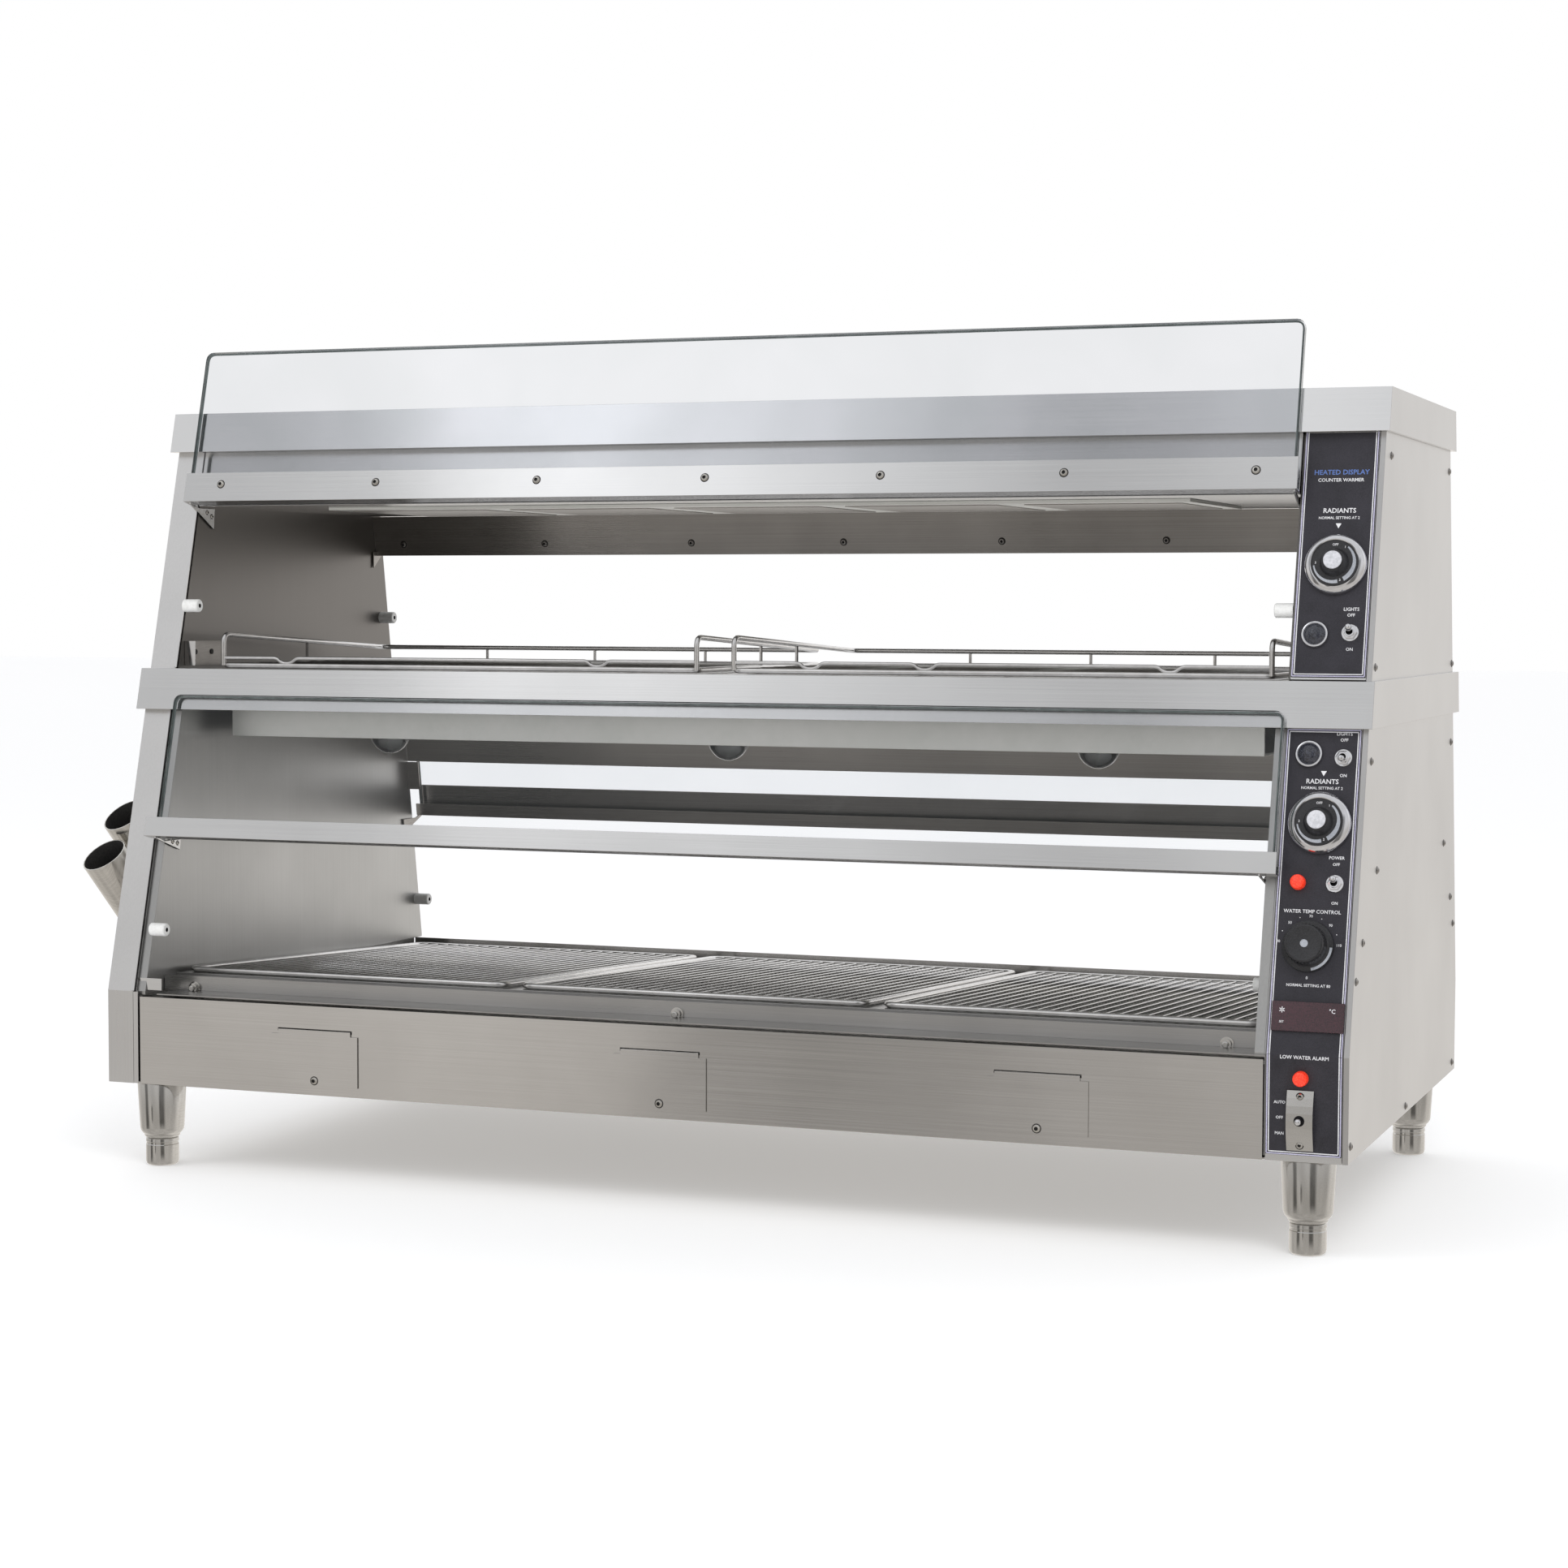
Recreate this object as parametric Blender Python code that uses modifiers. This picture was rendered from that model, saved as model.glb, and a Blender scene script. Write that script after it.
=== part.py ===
"""Two-tier heated counter display warmer: stainless cabinet, open front and rear, control column at right."""

from math import atan, cos, degrees, pi, radians, sin

import bmesh
import bpy
from mathutils import Matrix, Vector

# Driving sizes in millimetres. x is the width, y runs front to back, z is up from the floor.
WIDTH = 1450.0
DEPTH = 696.0
BASE_Z = 100.0
BEND_Z = 208.0
FRONT_TAN = 0.259
REAR_TAN = 0.163
TRIM_Z = (534.0, 582.0)
CAP_Z = (840.0, 886.3)
TRIM_PROUD = 11.6
TRIM_SIDE = 5.3
GAP = 0.3
SHEET = 2.0

HALF = WIDTH / 2
POST = 34.0
LEFT_WALL = -HALF + POST
RIGHT_WALL = 640.0
COLUMN_EDGE = 719.0
LOW_WALLS = (-677.0, 628.0)
ALPHA = atan(FRONT_TAN)
BETA = atan(REAR_TAN)

# Deck and shelves fall this much to the rear.
FALL = radians(3.0)
DECK_FRONT = (72.0, 222.0)
WELL_PITCH = 435.0

GLASS = 6.0
GLASS_OFF = 13.0
UPPER_GLASS_TOP = 955.0
LOWER_GLASS_TOP = 547.0
UPPER_RAIL_Z = (774.0, 808.0)
LOWER_RAIL_Z = (382.0, 404.0)

LEG_IN = 47.2
LEG_DEEP = 39.4

# The bounding box runs from the utensil tubes to the right trim, and from the guard toggle to the gland.
SHIFT_X = 40.07
SHIFT_Y = -347.6

STEEL = (0.62, 0.61, 0.59, 1.0)
DARK = (0.05, 0.05, 0.055, 1.0)
CLEAR = (0.75, 0.82, 0.80, 1.0)
RED = (0.80, 0.06, 0.03, 1.0)
WHITE = (0.85, 0.85, 0.83, 1.0)

for old in list(bpy.data.objects):
    bpy.data.objects.remove(old, do_unlink=True)

PARTS = bpy.data.collections.new("heated_counter_warmer")
CUTTERS = bpy.data.collections.new("cutters")
CUTTERS.hide_render = True
bpy.context.scene.collection.children.link(PARTS)
bpy.context.scene.collection.children.link(CUTTERS)


def front(z):
    return max(0.0, z - BEND_Z) * FRONT_TAN


def rear(z):
    return DEPTH - max(0.0, z - BEND_Z) * REAR_TAN


def on_front(off, z):
    """(y, z) of the point that stands off outward from the front slope at height z."""
    return front(z) - off * cos(ALPHA), z + off * sin(ALPHA)


def on_rear(off, z):
    return rear(z) + off * cos(BETA), z + off * sin(BETA)


def material(name, colour, metal=0.0, rough=0.4, glass=0.0):
    made = bpy.data.materials.new(name)
    made.use_nodes = True
    bsdf = made.node_tree.nodes["Principled BSDF"]
    bsdf.inputs["Base Color"].default_value = colour
    bsdf.inputs["Metallic"].default_value = metal
    bsdf.inputs["Roughness"].default_value = rough
    bsdf.inputs["Transmission Weight"].default_value = glass
    return made


def finish(obj, colour, metal=0.0, rough=0.4, glass=0.0):
    """Links the object as a node with its own material."""
    obj.data.materials.clear()
    obj.data.materials.append(material(obj.name + "_mat", colour, metal, rough, glass))
    if obj.name not in PARTS.objects:
        PARTS.objects.link(obj)
    return obj


def steel(obj, rough=0.35):
    return finish(obj, STEEL, 1.0, rough)


def place(obj, x=0.0, y=0.0, z=0.0, tilt=0.0):
    """Puts the object at a design position, turned by tilt about its x axis."""
    obj.location = ((x + SHIFT_X) / 1000, (y + SHIFT_Y) / 1000, z / 1000)
    obj.rotation_euler = (tilt, 0.0, 0.0)
    return obj


def cube(name, size, centre=(0.0, 0.0, 0.0)):
    """A mesh box about centre in the object's own frame."""
    mesh = bpy.data.meshes.new(name)
    bm = bmesh.new()
    add_cube(bm, size, centre)
    bm.to_mesh(mesh)
    bm.free()
    return bpy.data.objects.new(name, mesh)


def add_cube(bm, size, centre):
    made = bmesh.ops.create_cube(bm, size=1.0)["verts"]
    bmesh.ops.scale(bm, vec=Vector(size) / 1000, verts=made)
    bmesh.ops.translate(bm, vec=Vector(centre) / 1000, verts=made)
    return made


def add_round(bm, radius, z0, z1, x=0.0, y=0.0, sides=16):
    move = Matrix.Translation((x / 1000, y / 1000, (z0 + z1) / 2000))
    bmesh.ops.create_cone(
        bm,
        cap_ends=True,
        segments=sides,
        radius1=radius / 1000,
        radius2=radius / 1000,
        depth=(z1 - z0) / 1000,
        matrix=move,
    )


def leaning(name, half_x, off, z0, z1):
    """A box whose front and rear follow the two slopes, standing off outward from both."""
    made = cube(name, (2 * half_x, 1.0, z1 - z0), (0.0, 0.0, (z0 + z1) / 2))
    for vert in made.data.vertices:
        z = vert.co.z * 1000
        y = front(z) - off if vert.co.y < 0 else rear(z) + off
        vert.co.y = y / 1000
    return place(made)


def outline(name, loops, depth):
    """A flat outline with holes, extruded by depth about its own plane, as a welded mesh."""
    curve = bpy.data.curves.new(name, "CURVE")
    curve.dimensions = "2D"
    curve.fill_mode = "BOTH"
    curve.extrude = depth / 2000
    for loop in loops:
        spline = curve.splines.new("POLY")
        spline.points.add(len(loop) - 1)
        for point, (a, b) in zip(spline.points, loop):
            point.co = (a / 1000, b / 1000, 0.0, 1.0)
        spline.use_cyclic_u = True
    source = bpy.data.objects.new(name + "_curve", curve)
    bpy.context.scene.collection.objects.link(source)
    bpy.context.view_layer.update()
    graph = bpy.context.evaluated_depsgraph_get()
    mesh = bpy.data.meshes.new_from_object(source.evaluated_get(graph))
    bpy.data.objects.remove(source, do_unlink=True)
    bm = bmesh.new()
    bm.from_mesh(mesh)
    bmesh.ops.remove_doubles(bm, verts=bm.verts, dist=1e-6)
    bm.to_mesh(mesh)
    bm.free()
    return bpy.data.objects.new(name, mesh)


def along_x(name, loops, x0, x1):
    """A section given as (y, z) loops, run along x."""
    made = outline(name, loops, x1 - x0)
    made.location = ((x0 + x1) / 2000 + SHIFT_X / 1000, SHIFT_Y / 1000, 0.0)
    made.rotation_euler = (radians(90), 0.0, radians(90))
    return made


def rectangle(x0, x1, y0, y1):
    return [(x0, y0), (x1, y0), (x1, y1), (x0, y1)]


def rounded(x0, x1, y0, y1, radius, steps=4):
    """A rectangle with its two top corners rounded."""
    loop = [(x0, y0), (x1, y0)]
    for k in range(steps + 1):
        a = radians(90) * k / steps
        loop.append((x1 - radius + radius * cos(a), y1 - radius + radius * sin(a)))
    for k in range(steps + 1):
        a = radians(90) + radians(90) * k / steps
        loop.append((x0 + radius + radius * cos(a), y1 - radius + radius * sin(a)))
    return loop


def turned(name, profile, steps=24):
    """A Screw of the (radius, z) profile, whose ends are on the axis."""
    mesh = bpy.data.meshes.new(name)
    bm = bmesh.new()
    verts = [bm.verts.new((r / 1000, 0.0, z / 1000)) for r, z in profile]
    for a, b in zip(verts, verts[1:]):
        bm.edges.new((a, b))
    bm.to_mesh(mesh)
    bm.free()
    obj = bpy.data.objects.new(name, mesh)
    screw = obj.modifiers.new("turn", "SCREW")
    screw.steps = steps
    screw.render_steps = steps
    screw.use_merge_vertices = True
    screw.merge_threshold = 0.00001
    return obj


def boolean(obj, tool, operation):
    """Cuts or joins tool, which moves to the cutters."""
    tool.name = obj.name + "_" + operation.lower() + "_" + str(len(obj.modifiers))
    CUTTERS.objects.link(tool)
    tool.display_type = "WIRE"
    tool.hide_render = True
    tool.hide_viewport = False
    step = obj.modifiers.new(operation.lower(), "BOOLEAN")
    step.operation = operation
    step.solver = "EXACT"
    step.use_self = True
    step.object = tool
    return obj


def bars(name, boxes):
    """One body from overlapping boxes, each (x0, x1, y0, y1, z0, z1)."""
    first, rest = boxes[0], boxes[1:]
    obj = cube(name, *spread(first))
    mesh = bpy.data.meshes.new(name)
    bm = bmesh.new()
    for each in rest:
        add_cube(bm, *spread(each))
    bm.to_mesh(mesh)
    bm.free()
    return obj, bpy.data.objects.new(name, mesh)


def spread(each):
    x0, x1, y0, y1, z0, z1 = each
    return (x1 - x0, y1 - y0, z1 - z0), ((x0 + x1) / 2, (y0 + y1) / 2, (z0 + z1) / 2)


def wall_loop(inset, z0, z1):
    """The side profile between two heights, drawn in by inset at front and rear."""
    loop = [(inset, z0), (DEPTH - inset, z0)]
    if z0 < BEND_Z:
        loop.append((DEPTH - inset, BEND_Z))
    loop += [(rear(z1) - inset, z1), (front(z1) + inset, z1)]
    if z0 < BEND_Z:
        loop.append((inset, BEND_Z))
    else:
        loop[0] = (front(z0) + inset, z0)
        loop[1] = (rear(z0) - inset, z0)
    return loop


def side_panel(name, x_open, x_skin):
    """A folded side: a skin with flanges turned inward all round."""
    low, high = BASE_Z, CAP_Z[1] - SHEET - 1.0
    panel = along_x(name, [wall_loop(0.0, low, high)], min(x_open, x_skin), max(x_open, x_skin))
    inward = 1.0 if x_open > x_skin else -1.0
    a = x_skin + inward * SHEET
    b = x_open + inward * 2.0
    hollow = along_x(name, [wall_loop(SHEET, low + SHEET, high - SHEET)], min(a, b), max(a, b))
    return steel(boolean(panel, hollow, "DIFFERENCE"))


def inner_panel(name, x0, x1, lower):
    """A liner wall that stands further in beside the lower shelf."""
    low, high = BASE_Z + 4.0, CAP_Z[1] - SHEET - 1.0
    panel = along_x(name, [wall_loop(4.0, low, high)], x0, x1)
    slab = along_x(name, [wall_loop(4.4, 204.0, TRIM_Z[0] - 1.0)], *lower)
    return steel(boolean(panel, slab, "UNION"), 0.45)


def sides():
    side_panel("left_side_panel", LEFT_WALL, -HALF)
    side_panel("right_side_panel", COLUMN_EDGE, HALF)
    inner_panel("left_inner_panel", LEFT_WALL + GAP, LEFT_WALL + GAP + 1.6, (LEFT_WALL + 1.0, LOW_WALLS[0]))
    inner_panel("right_inner_panel", RIGHT_WALL - 1.6, RIGHT_WALL, (LOW_WALLS[1], RIGHT_WALL - 0.8))


INSIDE = (LEFT_WALL + GAP + 1.6 + GAP, RIGHT_WALL - 1.6 - GAP)
LOW_INSIDE = (LOW_WALLS[0] + GAP, LOW_WALLS[1] - GAP)
FOUR_WALLS = (LEFT_WALL + 1.0, COLUMN_EDGE - 1.0)


def base():
    pan = [rectangle(4.6, DEPTH - 4.6, BASE_Z, BASE_Z + SHEET)]
    steel(along_x("base_pan", pan, *FOUR_WALLS))
    top = 202.0
    low = BASE_Z + SHEET + GAP
    section = [(0.0, BASE_Z), (2.0, BASE_Z), (2.0, top - 2), (16.0, top - 2), (16.0, top), (0.0, top)]
    apron = along_x("front_apron", [section], -682.0, INSIDE[1])
    slots = [(x0 + 8, x1 - 8, -4.0, 6.0, 172.0, 175.5) for x0, x1 in COVERS]
    first, more = bars("front_apron", slots)
    boolean(apron, place(first), "DIFFERENCE")
    steel(boolean(apron, place(more), "DIFFERENCE"))
    back = rectangle(DEPTH - 3.0, DEPTH, BASE_Z, top)
    rear_apron = along_x("rear_apron", [back], LEFT_WALL + 2.6, COLUMN_EDGE - GAP)
    gland = turned("gland", [(0, 18), (6, 18), (9, 14), (9, 7), (14, 6), (14, -1), (0, -1)], 16)
    steel(boolean(rear_apron, place(gland, 560.0, DEPTH, 150.0, radians(-90)), "UNION"))
    tray = [
        (60.0, low + 16),
        (640.0, low + 16),
        (640.0, 186.0),
        (638.0, 186.0),
        (638.0, low + 18),
        (62.0, low + 18),
        (62.0, 186.0),
        (60.0, 186.0),
    ]
    x0, x1 = LOW_INSIDE[0] + 4, LOW_INSIDE[1] - 4
    mid = (x0 + x1) / 2
    pan = along_x("water_pan", [tray], x0, x1)
    ends = cube("ends", (x1 - x0, 579.0, 67.0), (mid, 350.0, low + 50.5))
    core = cube("core", (x1 - x0 - 4, 576.0, 90.0), (mid, 350.0, low + 62.0))
    boolean(pan, place(ends), "UNION")
    steel(boolean(pan, place(core), "DIFFERENCE"))


COVERS = [(-506.0, -395.0), (-79.0, 31.0), (347.0, 457.0)]


def covers():
    for k, (x0, x1) in enumerate(COVERS, 1):
        mid = (x0 + x1) / 2
        plate, tongue = bars(
            f"access_cover_{k}",
            [
                (x0 - mid, x1 - mid, -1.8, -GAP, 111.0, 169.0),
                (x0 - mid + 9, x1 - mid - 9, -1.6, -0.4, 168.0, 173.5),
                (x0 - mid + 9, x1 - mid - 9, -1.5, 3.4, 172.6, 174.4),
            ],
        )
        place(plate, mid)
        steel(boolean(plate, place(tongue, mid), "UNION"))


def well(k):
    return LOW_WALLS[0] + WELL_PITCH * (k + 0.5)


def deck():
    """The sloping frame that carries the grids over the water pan."""
    y0, z0 = DECK_FRONT
    long = 604.0
    x0, x1 = LOW_INSIDE
    holes = []
    for k in range(3):
        mid = well(k)
        holes.append(rectangle(mid - 200, mid + 200, 26.0, long - 24.0))
    frame = outline("deck_frame", [rectangle(x0, x1, 0.0, long)] + holes, SHEET)
    place(frame, 0.0, y0, z0, -FALL)
    lip_y = y0 - 26.0
    lip = [(lip_y, 204.0), (lip_y + 2, 204.0), (lip_y + 2, 217.0), (y0 + 2, 217.0)]
    lip += [(y0 + 2, z0 + 0.6), (y0 + 0.4, z0 + 0.6), (y0 + 0.4, 219.0), (lip_y, 219.0)]
    steel(boolean(frame, along_x("lip", [lip], x0 + 0.5, x1 - 0.5), "UNION"))


def grids():
    y0, z0 = DECK_FRONT
    for k in range(3):
        mid = well(k)
        half_x, long = 209.0, 584.0
        loops = [rectangle(-half_x, half_x, 0.0, long)]
        rows = 9
        step = (long - 12.0) / rows
        for row in range(rows):
            low = 8.0 + row * step
            for side in (-1, 1):
                edge = sorted((side * 3.0, side * (half_x - 6.0)))
                loops.append(rectangle(edge[0], edge[1], low, low + step - 6.0))
        grid = outline(f"wire_grid_{k + 1}", loops, 4.0)
        lift = SHEET / 2 + GAP + 2.0
        steel(
            place(
                grid,
                mid,
                y0 + 8.0 * cos(FALL) + lift * sin(FALL),
                z0 - 8.0 * sin(FALL) + lift * cos(FALL),
                -FALL,
            )
        )


RACKS = [(-645.0, -30.0), (9.0, 619.0)]
RACK_Y = (122.0, 522.0)
RACK_Z = TRIM_Z[1] + 0.5
RACK_DROP = 20.0


def racks():
    """Wire racks in the upper tier: a low frame, floor wires, and a raised rail on three sides."""
    for k, (x0, x1) in enumerate(RACKS, 1):
        w, long = x1 - x0, RACK_Y[1] - RACK_Y[0]
        t, up = 6.0, 43.0
        boxes = [
            (0, w, 0, t, 0, t),
            (0, w, long - t, long, 0.1, t + 0.1),
            (0.1, t + 0.1, 1, long - 1, -0.1, t - 0.1),
            (w - t - 0.1, w - 0.1, 1, long - 1, -0.1, t - 0.1),
            (0.2, t - 0.2, 0.3, t + 0.3, 1, up - 1),
            (w - t + 0.2, w - 0.2, 0.3, t + 0.3, 1, up - 1),
            (0.2, t - 0.2, long - t - 0.3, long - 0.3, 1, up - 1),
            (w - t + 0.2, w - 0.2, long - t - 0.3, long - 0.3, 1, up - 1),
            (0.3, t + 0.1, 0.1, long - 0.1, up - t, up),
            (w - t - 0.1, w - 0.3, 0.1, long - 0.1, up - t, up),
            (0.4, w - 0.4, long - t + 0.1, long + 0.1, up - t + 0.1, up + 0.1),
        ]
        for row in range(7):
            y = 45.0 + row * (long - 90.0) / 6
            boxes.append((2, w - 2, y - 2.5, y + 2.5, 1, 5.5))
        for col in (1, 2, 3):
            x = w * col / 4
            boxes.append((x - 2.4, x + 2.4, long - t + 0.4, long - 0.5, 2, up - 2))
            boxes.append((x - 2.6, x + 2.6, 2, long - 2, 0.7, 5.2))
        rack, rest = bars(f"wire_rack_{k}", boxes)
        for piece in (rack, rest):
            place(piece, x0, RACK_Y[0], RACK_Z)
            for vert in piece.data.vertices:
                if vert.co.z > 0.030:
                    vert.co.z -= RACK_DROP * vert.co.y / long
        steel(boolean(rack, rest, "UNION"))


def trims():
    z0, z1 = TRIM_Z
    ring = leaning("mid_trim", HALF + TRIM_SIDE, TRIM_PROUD, z0, z1)
    steel(boolean(ring, leaning("core", HALF + GAP, GAP, z0 - 5, z1 + 5), "DIFFERENCE"))
    z0, z1 = CAP_Z
    cap = leaning("top_cap", HALF + TRIM_SIDE, TRIM_PROUD, z0, z1)
    steel(boolean(cap, leaning("core", HALF + GAP, GAP, z0 - 5, z1 - SHEET), "DIFFERENCE"))


def lamp_holes(z):
    """Cutters for the round holes that the lamps hang through."""
    mesh = bpy.data.meshes.new("holes")
    bm = bmesh.new()
    for k in range(3):
        add_round(bm, 28.0, -5.0, 8.0, well(k), LAMP_Y, 24)
    bm.to_mesh(mesh)
    bm.free()
    return place(bpy.data.objects.new("holes", mesh), 0.0, 0.0, z)


def decks():
    z1 = TRIM_Z[1]
    y0, y1 = front(z1) + 1.0, rear(z1) - 1.0
    tray = [(y0, z1 - 4), (y1, z1 - 4), (y1, z1 - 1), (y0, z1 - 1)]
    drop = [(y0 + 3, z1 - 46), (y0 + 5, z1 - 46), (y0 + 5, z1 - 3), (y0 + 3, z1 - 3)]
    deck_top = along_x("mid_deck", [tray], *INSIDE)
    steel(boolean(deck_top, along_x("drop", [drop], INSIDE[0] + 0.4, INSIDE[1] - 0.4), "UNION"))
    z0 = 500.0
    outer = rectangle(160.0, 600.0, z0, z1 - 6.0)
    hollow = rectangle(163.0, 597.0, z0 + 3, z1 - 8.0)
    ceiling = along_x("lower_ceiling_pan", [outer, hollow[::-1]], -652.0, 602.0)
    boolean(ceiling, lamp_holes(z0), "DIFFERENCE")
    finish(ceiling, STEEL, 1.0, 0.5)
    y0, z0 = on_rear(-4.0, 447.0)
    y1, z1 = on_rear(-4.0, TRIM_Z[1] - 6.0)
    head = [(y0 - 2, z0), (y0, z0), (y1, z1), (y1 - 2, z1)]
    finish(along_x("rear_header", [head], *LOW_INSIDE), (0.12, 0.12, 0.12, 1.0), 1.0, 0.4)
    low, high = 775.0, CAP_Z[1] - SHEET - 2.0
    outer = [(front(low) + 0.4, low), (rear(low) - 1, low), (rear(high) - 1, high), (front(high) + 0.4, high)]
    low, high = low + 2, high - 2
    inner = [(front(low) + 2.6, low), (rear(low) - 3.4, low), (rear(high) - 3.4, high), (front(high) + 2.6, high)]
    steel(along_x("upper_heater_housing", [outer, inner[::-1]], *INSIDE))


def channel(place_at, z0, z1, back):
    """A channel section that holds a pane: front plate, foot and a lower back plate."""
    points = [(24.0, z1), (24.0, z0), (8.0, z0), (8.0, back), (10.0, back), (10.0, z0 + 2), (22.0, z0 + 2), (22.0, z1)]
    return [place_at(off, z) for off, z in points]


def inside_rear(off, z):
    """(y, z) of the point that stands off inward from the rear slope at height z."""
    return on_rear(-off, z)


def rail(name, place_at, span, z0, z1, back, drop, walls):
    """A channel with end brackets that reach in along the liner walls."""
    made = along_x(name, [channel(place_at, z0, z1, back)], *span)
    foot = place_at(0.0, z0)[0]
    inward = 1.0 if place_at is on_front else -1.0
    if place_at is inside_rear:
        web = [(foot - 34, z0 + 1.0), (foot - 34, z0 - drop), (foot - 9, z0 - 1.0), (foot - 9, z0 + 1.0)]
    else:
        web = [place_at(20.6, z0 + 1.3), place_at(20.6, z0 - 2.0), (foot + 32 * inward, z0 - drop)]
        web += [(foot + 34 * inward, z0 - 1.5), (foot - inward, z0 - 1.5)]
    tabs = ((walls[0] + 0.4, walls[0] + 2.4), (walls[1] - 2.4, walls[1] - 0.4))
    for x0, x1 in tabs:
        boolean(made, along_x(name, [web], x0, x1), "UNION")
    return steel(made)


def rails():
    rail("upper_front_rail", on_front, (-695.0, RIGHT_WALL), *UPPER_RAIL_Z, 786.0, 26.0, INSIDE)
    rail("lower_front_rail", on_front, (INSIDE[0], 644.0), *LOWER_RAIL_Z, 392.0, 14.0, LOW_INSIDE)
    rail("upper_rear_rail", inside_rear, INSIDE, 727.0, 778.2, 738.0, 20.0, INSIDE)
    rail("lower_rear_rail", on_rear, LOW_INSIDE, 370.0, 409.0, 386.0, 20.0, LOW_INSIDE)


def pane(name, x0, x1, low, top, tilt, at):
    """A glass sheet whose lower edge stands in a channel."""
    length = (top - low) / cos(tilt[1])
    glass = outline(name, [rounded(x0, x1, 0.0, length, 9.0)], GLASS)
    place(glass, 0.0, at[0], at[1], tilt[0])
    return finish(glass, CLEAR, 0.0, 0.02, 1.0)


def panes():
    off = GLASS_OFF + GLASS / 2
    low = UPPER_RAIL_Z[0] + 2.5
    pane("upper_front_glass", -692.0, 637.0, low, UPPER_GLASS_TOP, (radians(90) - ALPHA, ALPHA), on_front(off, low))
    low = LOWER_RAIL_Z[0] + 2.5
    pane("lower_front_glass", -675.0, 641.0, low, LOWER_GLASS_TOP, (radians(90) - ALPHA, ALPHA), on_front(off, low))
    low = 372.5
    pane("lower_rear_glass", -673.0, 624.0, low, 530.0, (radians(90) + BETA, BETA), on_rear(off, low))


def legs():
    sleeve = [(0, 99.7), (28.5, 99.7), (25.2, 40), (20.6, 33), (14.5, 33), (14.5, 92), (0, 92)]
    foot = [(0, 80), (12, 80), (12, 32.4), (19.2, 32.4), (19.2, 3), (17, 0), (0, 0)]
    spots = {
        "front_left": (-HALF + LEG_IN, LEG_DEEP),
        "front_right": (HALF - LEG_IN, LEG_DEEP),
        "rear_left": (-HALF + LEG_IN, DEPTH - LEG_DEEP),
        "rear_right": (HALF - LEG_IN, DEPTH - LEG_DEEP),
    }
    for where, (x, y) in spots.items():
        steel(place(turned("leg_sleeve_" + where, sleeve), x, y), 0.15)
        steel(place(turned("leg_foot_" + where, foot), x, y), 0.2)


LAMP_Y = 200.0
LAMP_Z = 544.0


def lamps():
    """Globes whose crowns hang through the ceiling pan, on lampholders fixed inside it."""
    bulb = [(0, 29.5), (13, 29.5), (13, -4), (12, -9), (19, -20), (24, -33), (24, -42), (19, -54), (10, -61), (0, -63)]
    for k in range(3):
        made = turned(f"lamp_{k + 1}", bulb, 16)
        finish(place(made, well(k), LAMP_Y, LAMP_Z), CLEAR, 0.0, 0.05, 0.8)


TUBE_R = 28.0
TUBE_LONG = 150.0
TUBE_AXIS = Vector((-0.2, -0.58, 0.79)).normalized()
TUBE_MOUTHS = [(-783.0, 82.0, 358.0), (-783.0, 127.0, 403.0)]


def tubes():
    """Two leaning utensil tubes, closed below, each with a strap against the left side."""
    bore = TUBE_R - 1.5
    profile = [(0, -TUBE_LONG), (TUBE_R, -TUBE_LONG), (TUBE_R, 0), (bore, 0), (bore, 2 - TUBE_LONG), (0, 2 - TUBE_LONG)]
    turn = TUBE_AXIS.to_track_quat("Z", "Y").to_euler()
    for k, mouth in enumerate(TUBE_MOUTHS, 1):
        tube = turned(f"utensil_tube_{k}", profile[::-1], 24)
        tube.location = place(tube, *mouth).location
        tube.rotation_euler = turn
        low = Vector(mouth) - TUBE_AXIS * (TUBE_LONG - 22.0)
        x0, x1 = low.x + TUBE_R - 4.0, -HALF - GAP
        strap = cube("strap", (x1 - x0, 26.0, 22.0), ((x0 + x1) / 2, low.y, low.z))
        steel(boolean(tube, place(strap), "UNION"), 0.3)


FACE_X = (641.6, 718.2)


def column():
    """Front plates of the control column, with black faces over them."""
    x0, x1 = RIGHT_WALL + 1.0, COLUMN_EDGE - GAP
    top = CAP_Z[1] - SHEET - 2.0
    plate = [on_front(0, TRIM_Z[1] + 1), on_front(0, top), on_front(-2, top), on_front(-2, TRIM_Z[1] + 1)]
    steel(along_x("control_front_upper", [plate], x0, x1))
    high = TRIM_Z[0] + 40.0
    plate = [(0.0, BASE_Z), (0.0, BEND_Z), on_front(0, high), on_front(-2, high), (2.0, BEND_Z - 1), (2.0, BASE_Z)]
    steel(along_x("control_front_lower", [plate], x0, x1))
    a, b = GAP, GAP + 1.2
    face = [on_front(b, 585.5), on_front(b, 839), on_front(a, 839), on_front(a, 585.5)]
    finish(along_x("control_face_upper", [face], *FACE_X), DARK, 0.0, 0.5)
    bend = BEND_Z + 0.2
    face = [(-b, 107), (-b, bend), on_front(b, 532.8), on_front(a, 532.8), (-a, bend), (-a, 107)]
    finish(along_x("control_face_lower", [face], *FACE_X), DARK, 0.0, 0.5)


FACE = GAP + 1.2 + GAP


def mounted(obj, x, z, lift=0.0):
    """Stands a turned piece on the control face, along the face normal or tipped up from it by lift."""
    y, up = (-FACE, z) if z < BEND_Z else on_front(FACE, z)
    return place(obj, x, y, up, radians(90) - (0.0 if z < BEND_Z else ALPHA) - lift)


DIALS = {"radiant_dial_upper": (681.0, 701.0), "radiant_dial_lower": (681.0, 438.0)}
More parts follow.
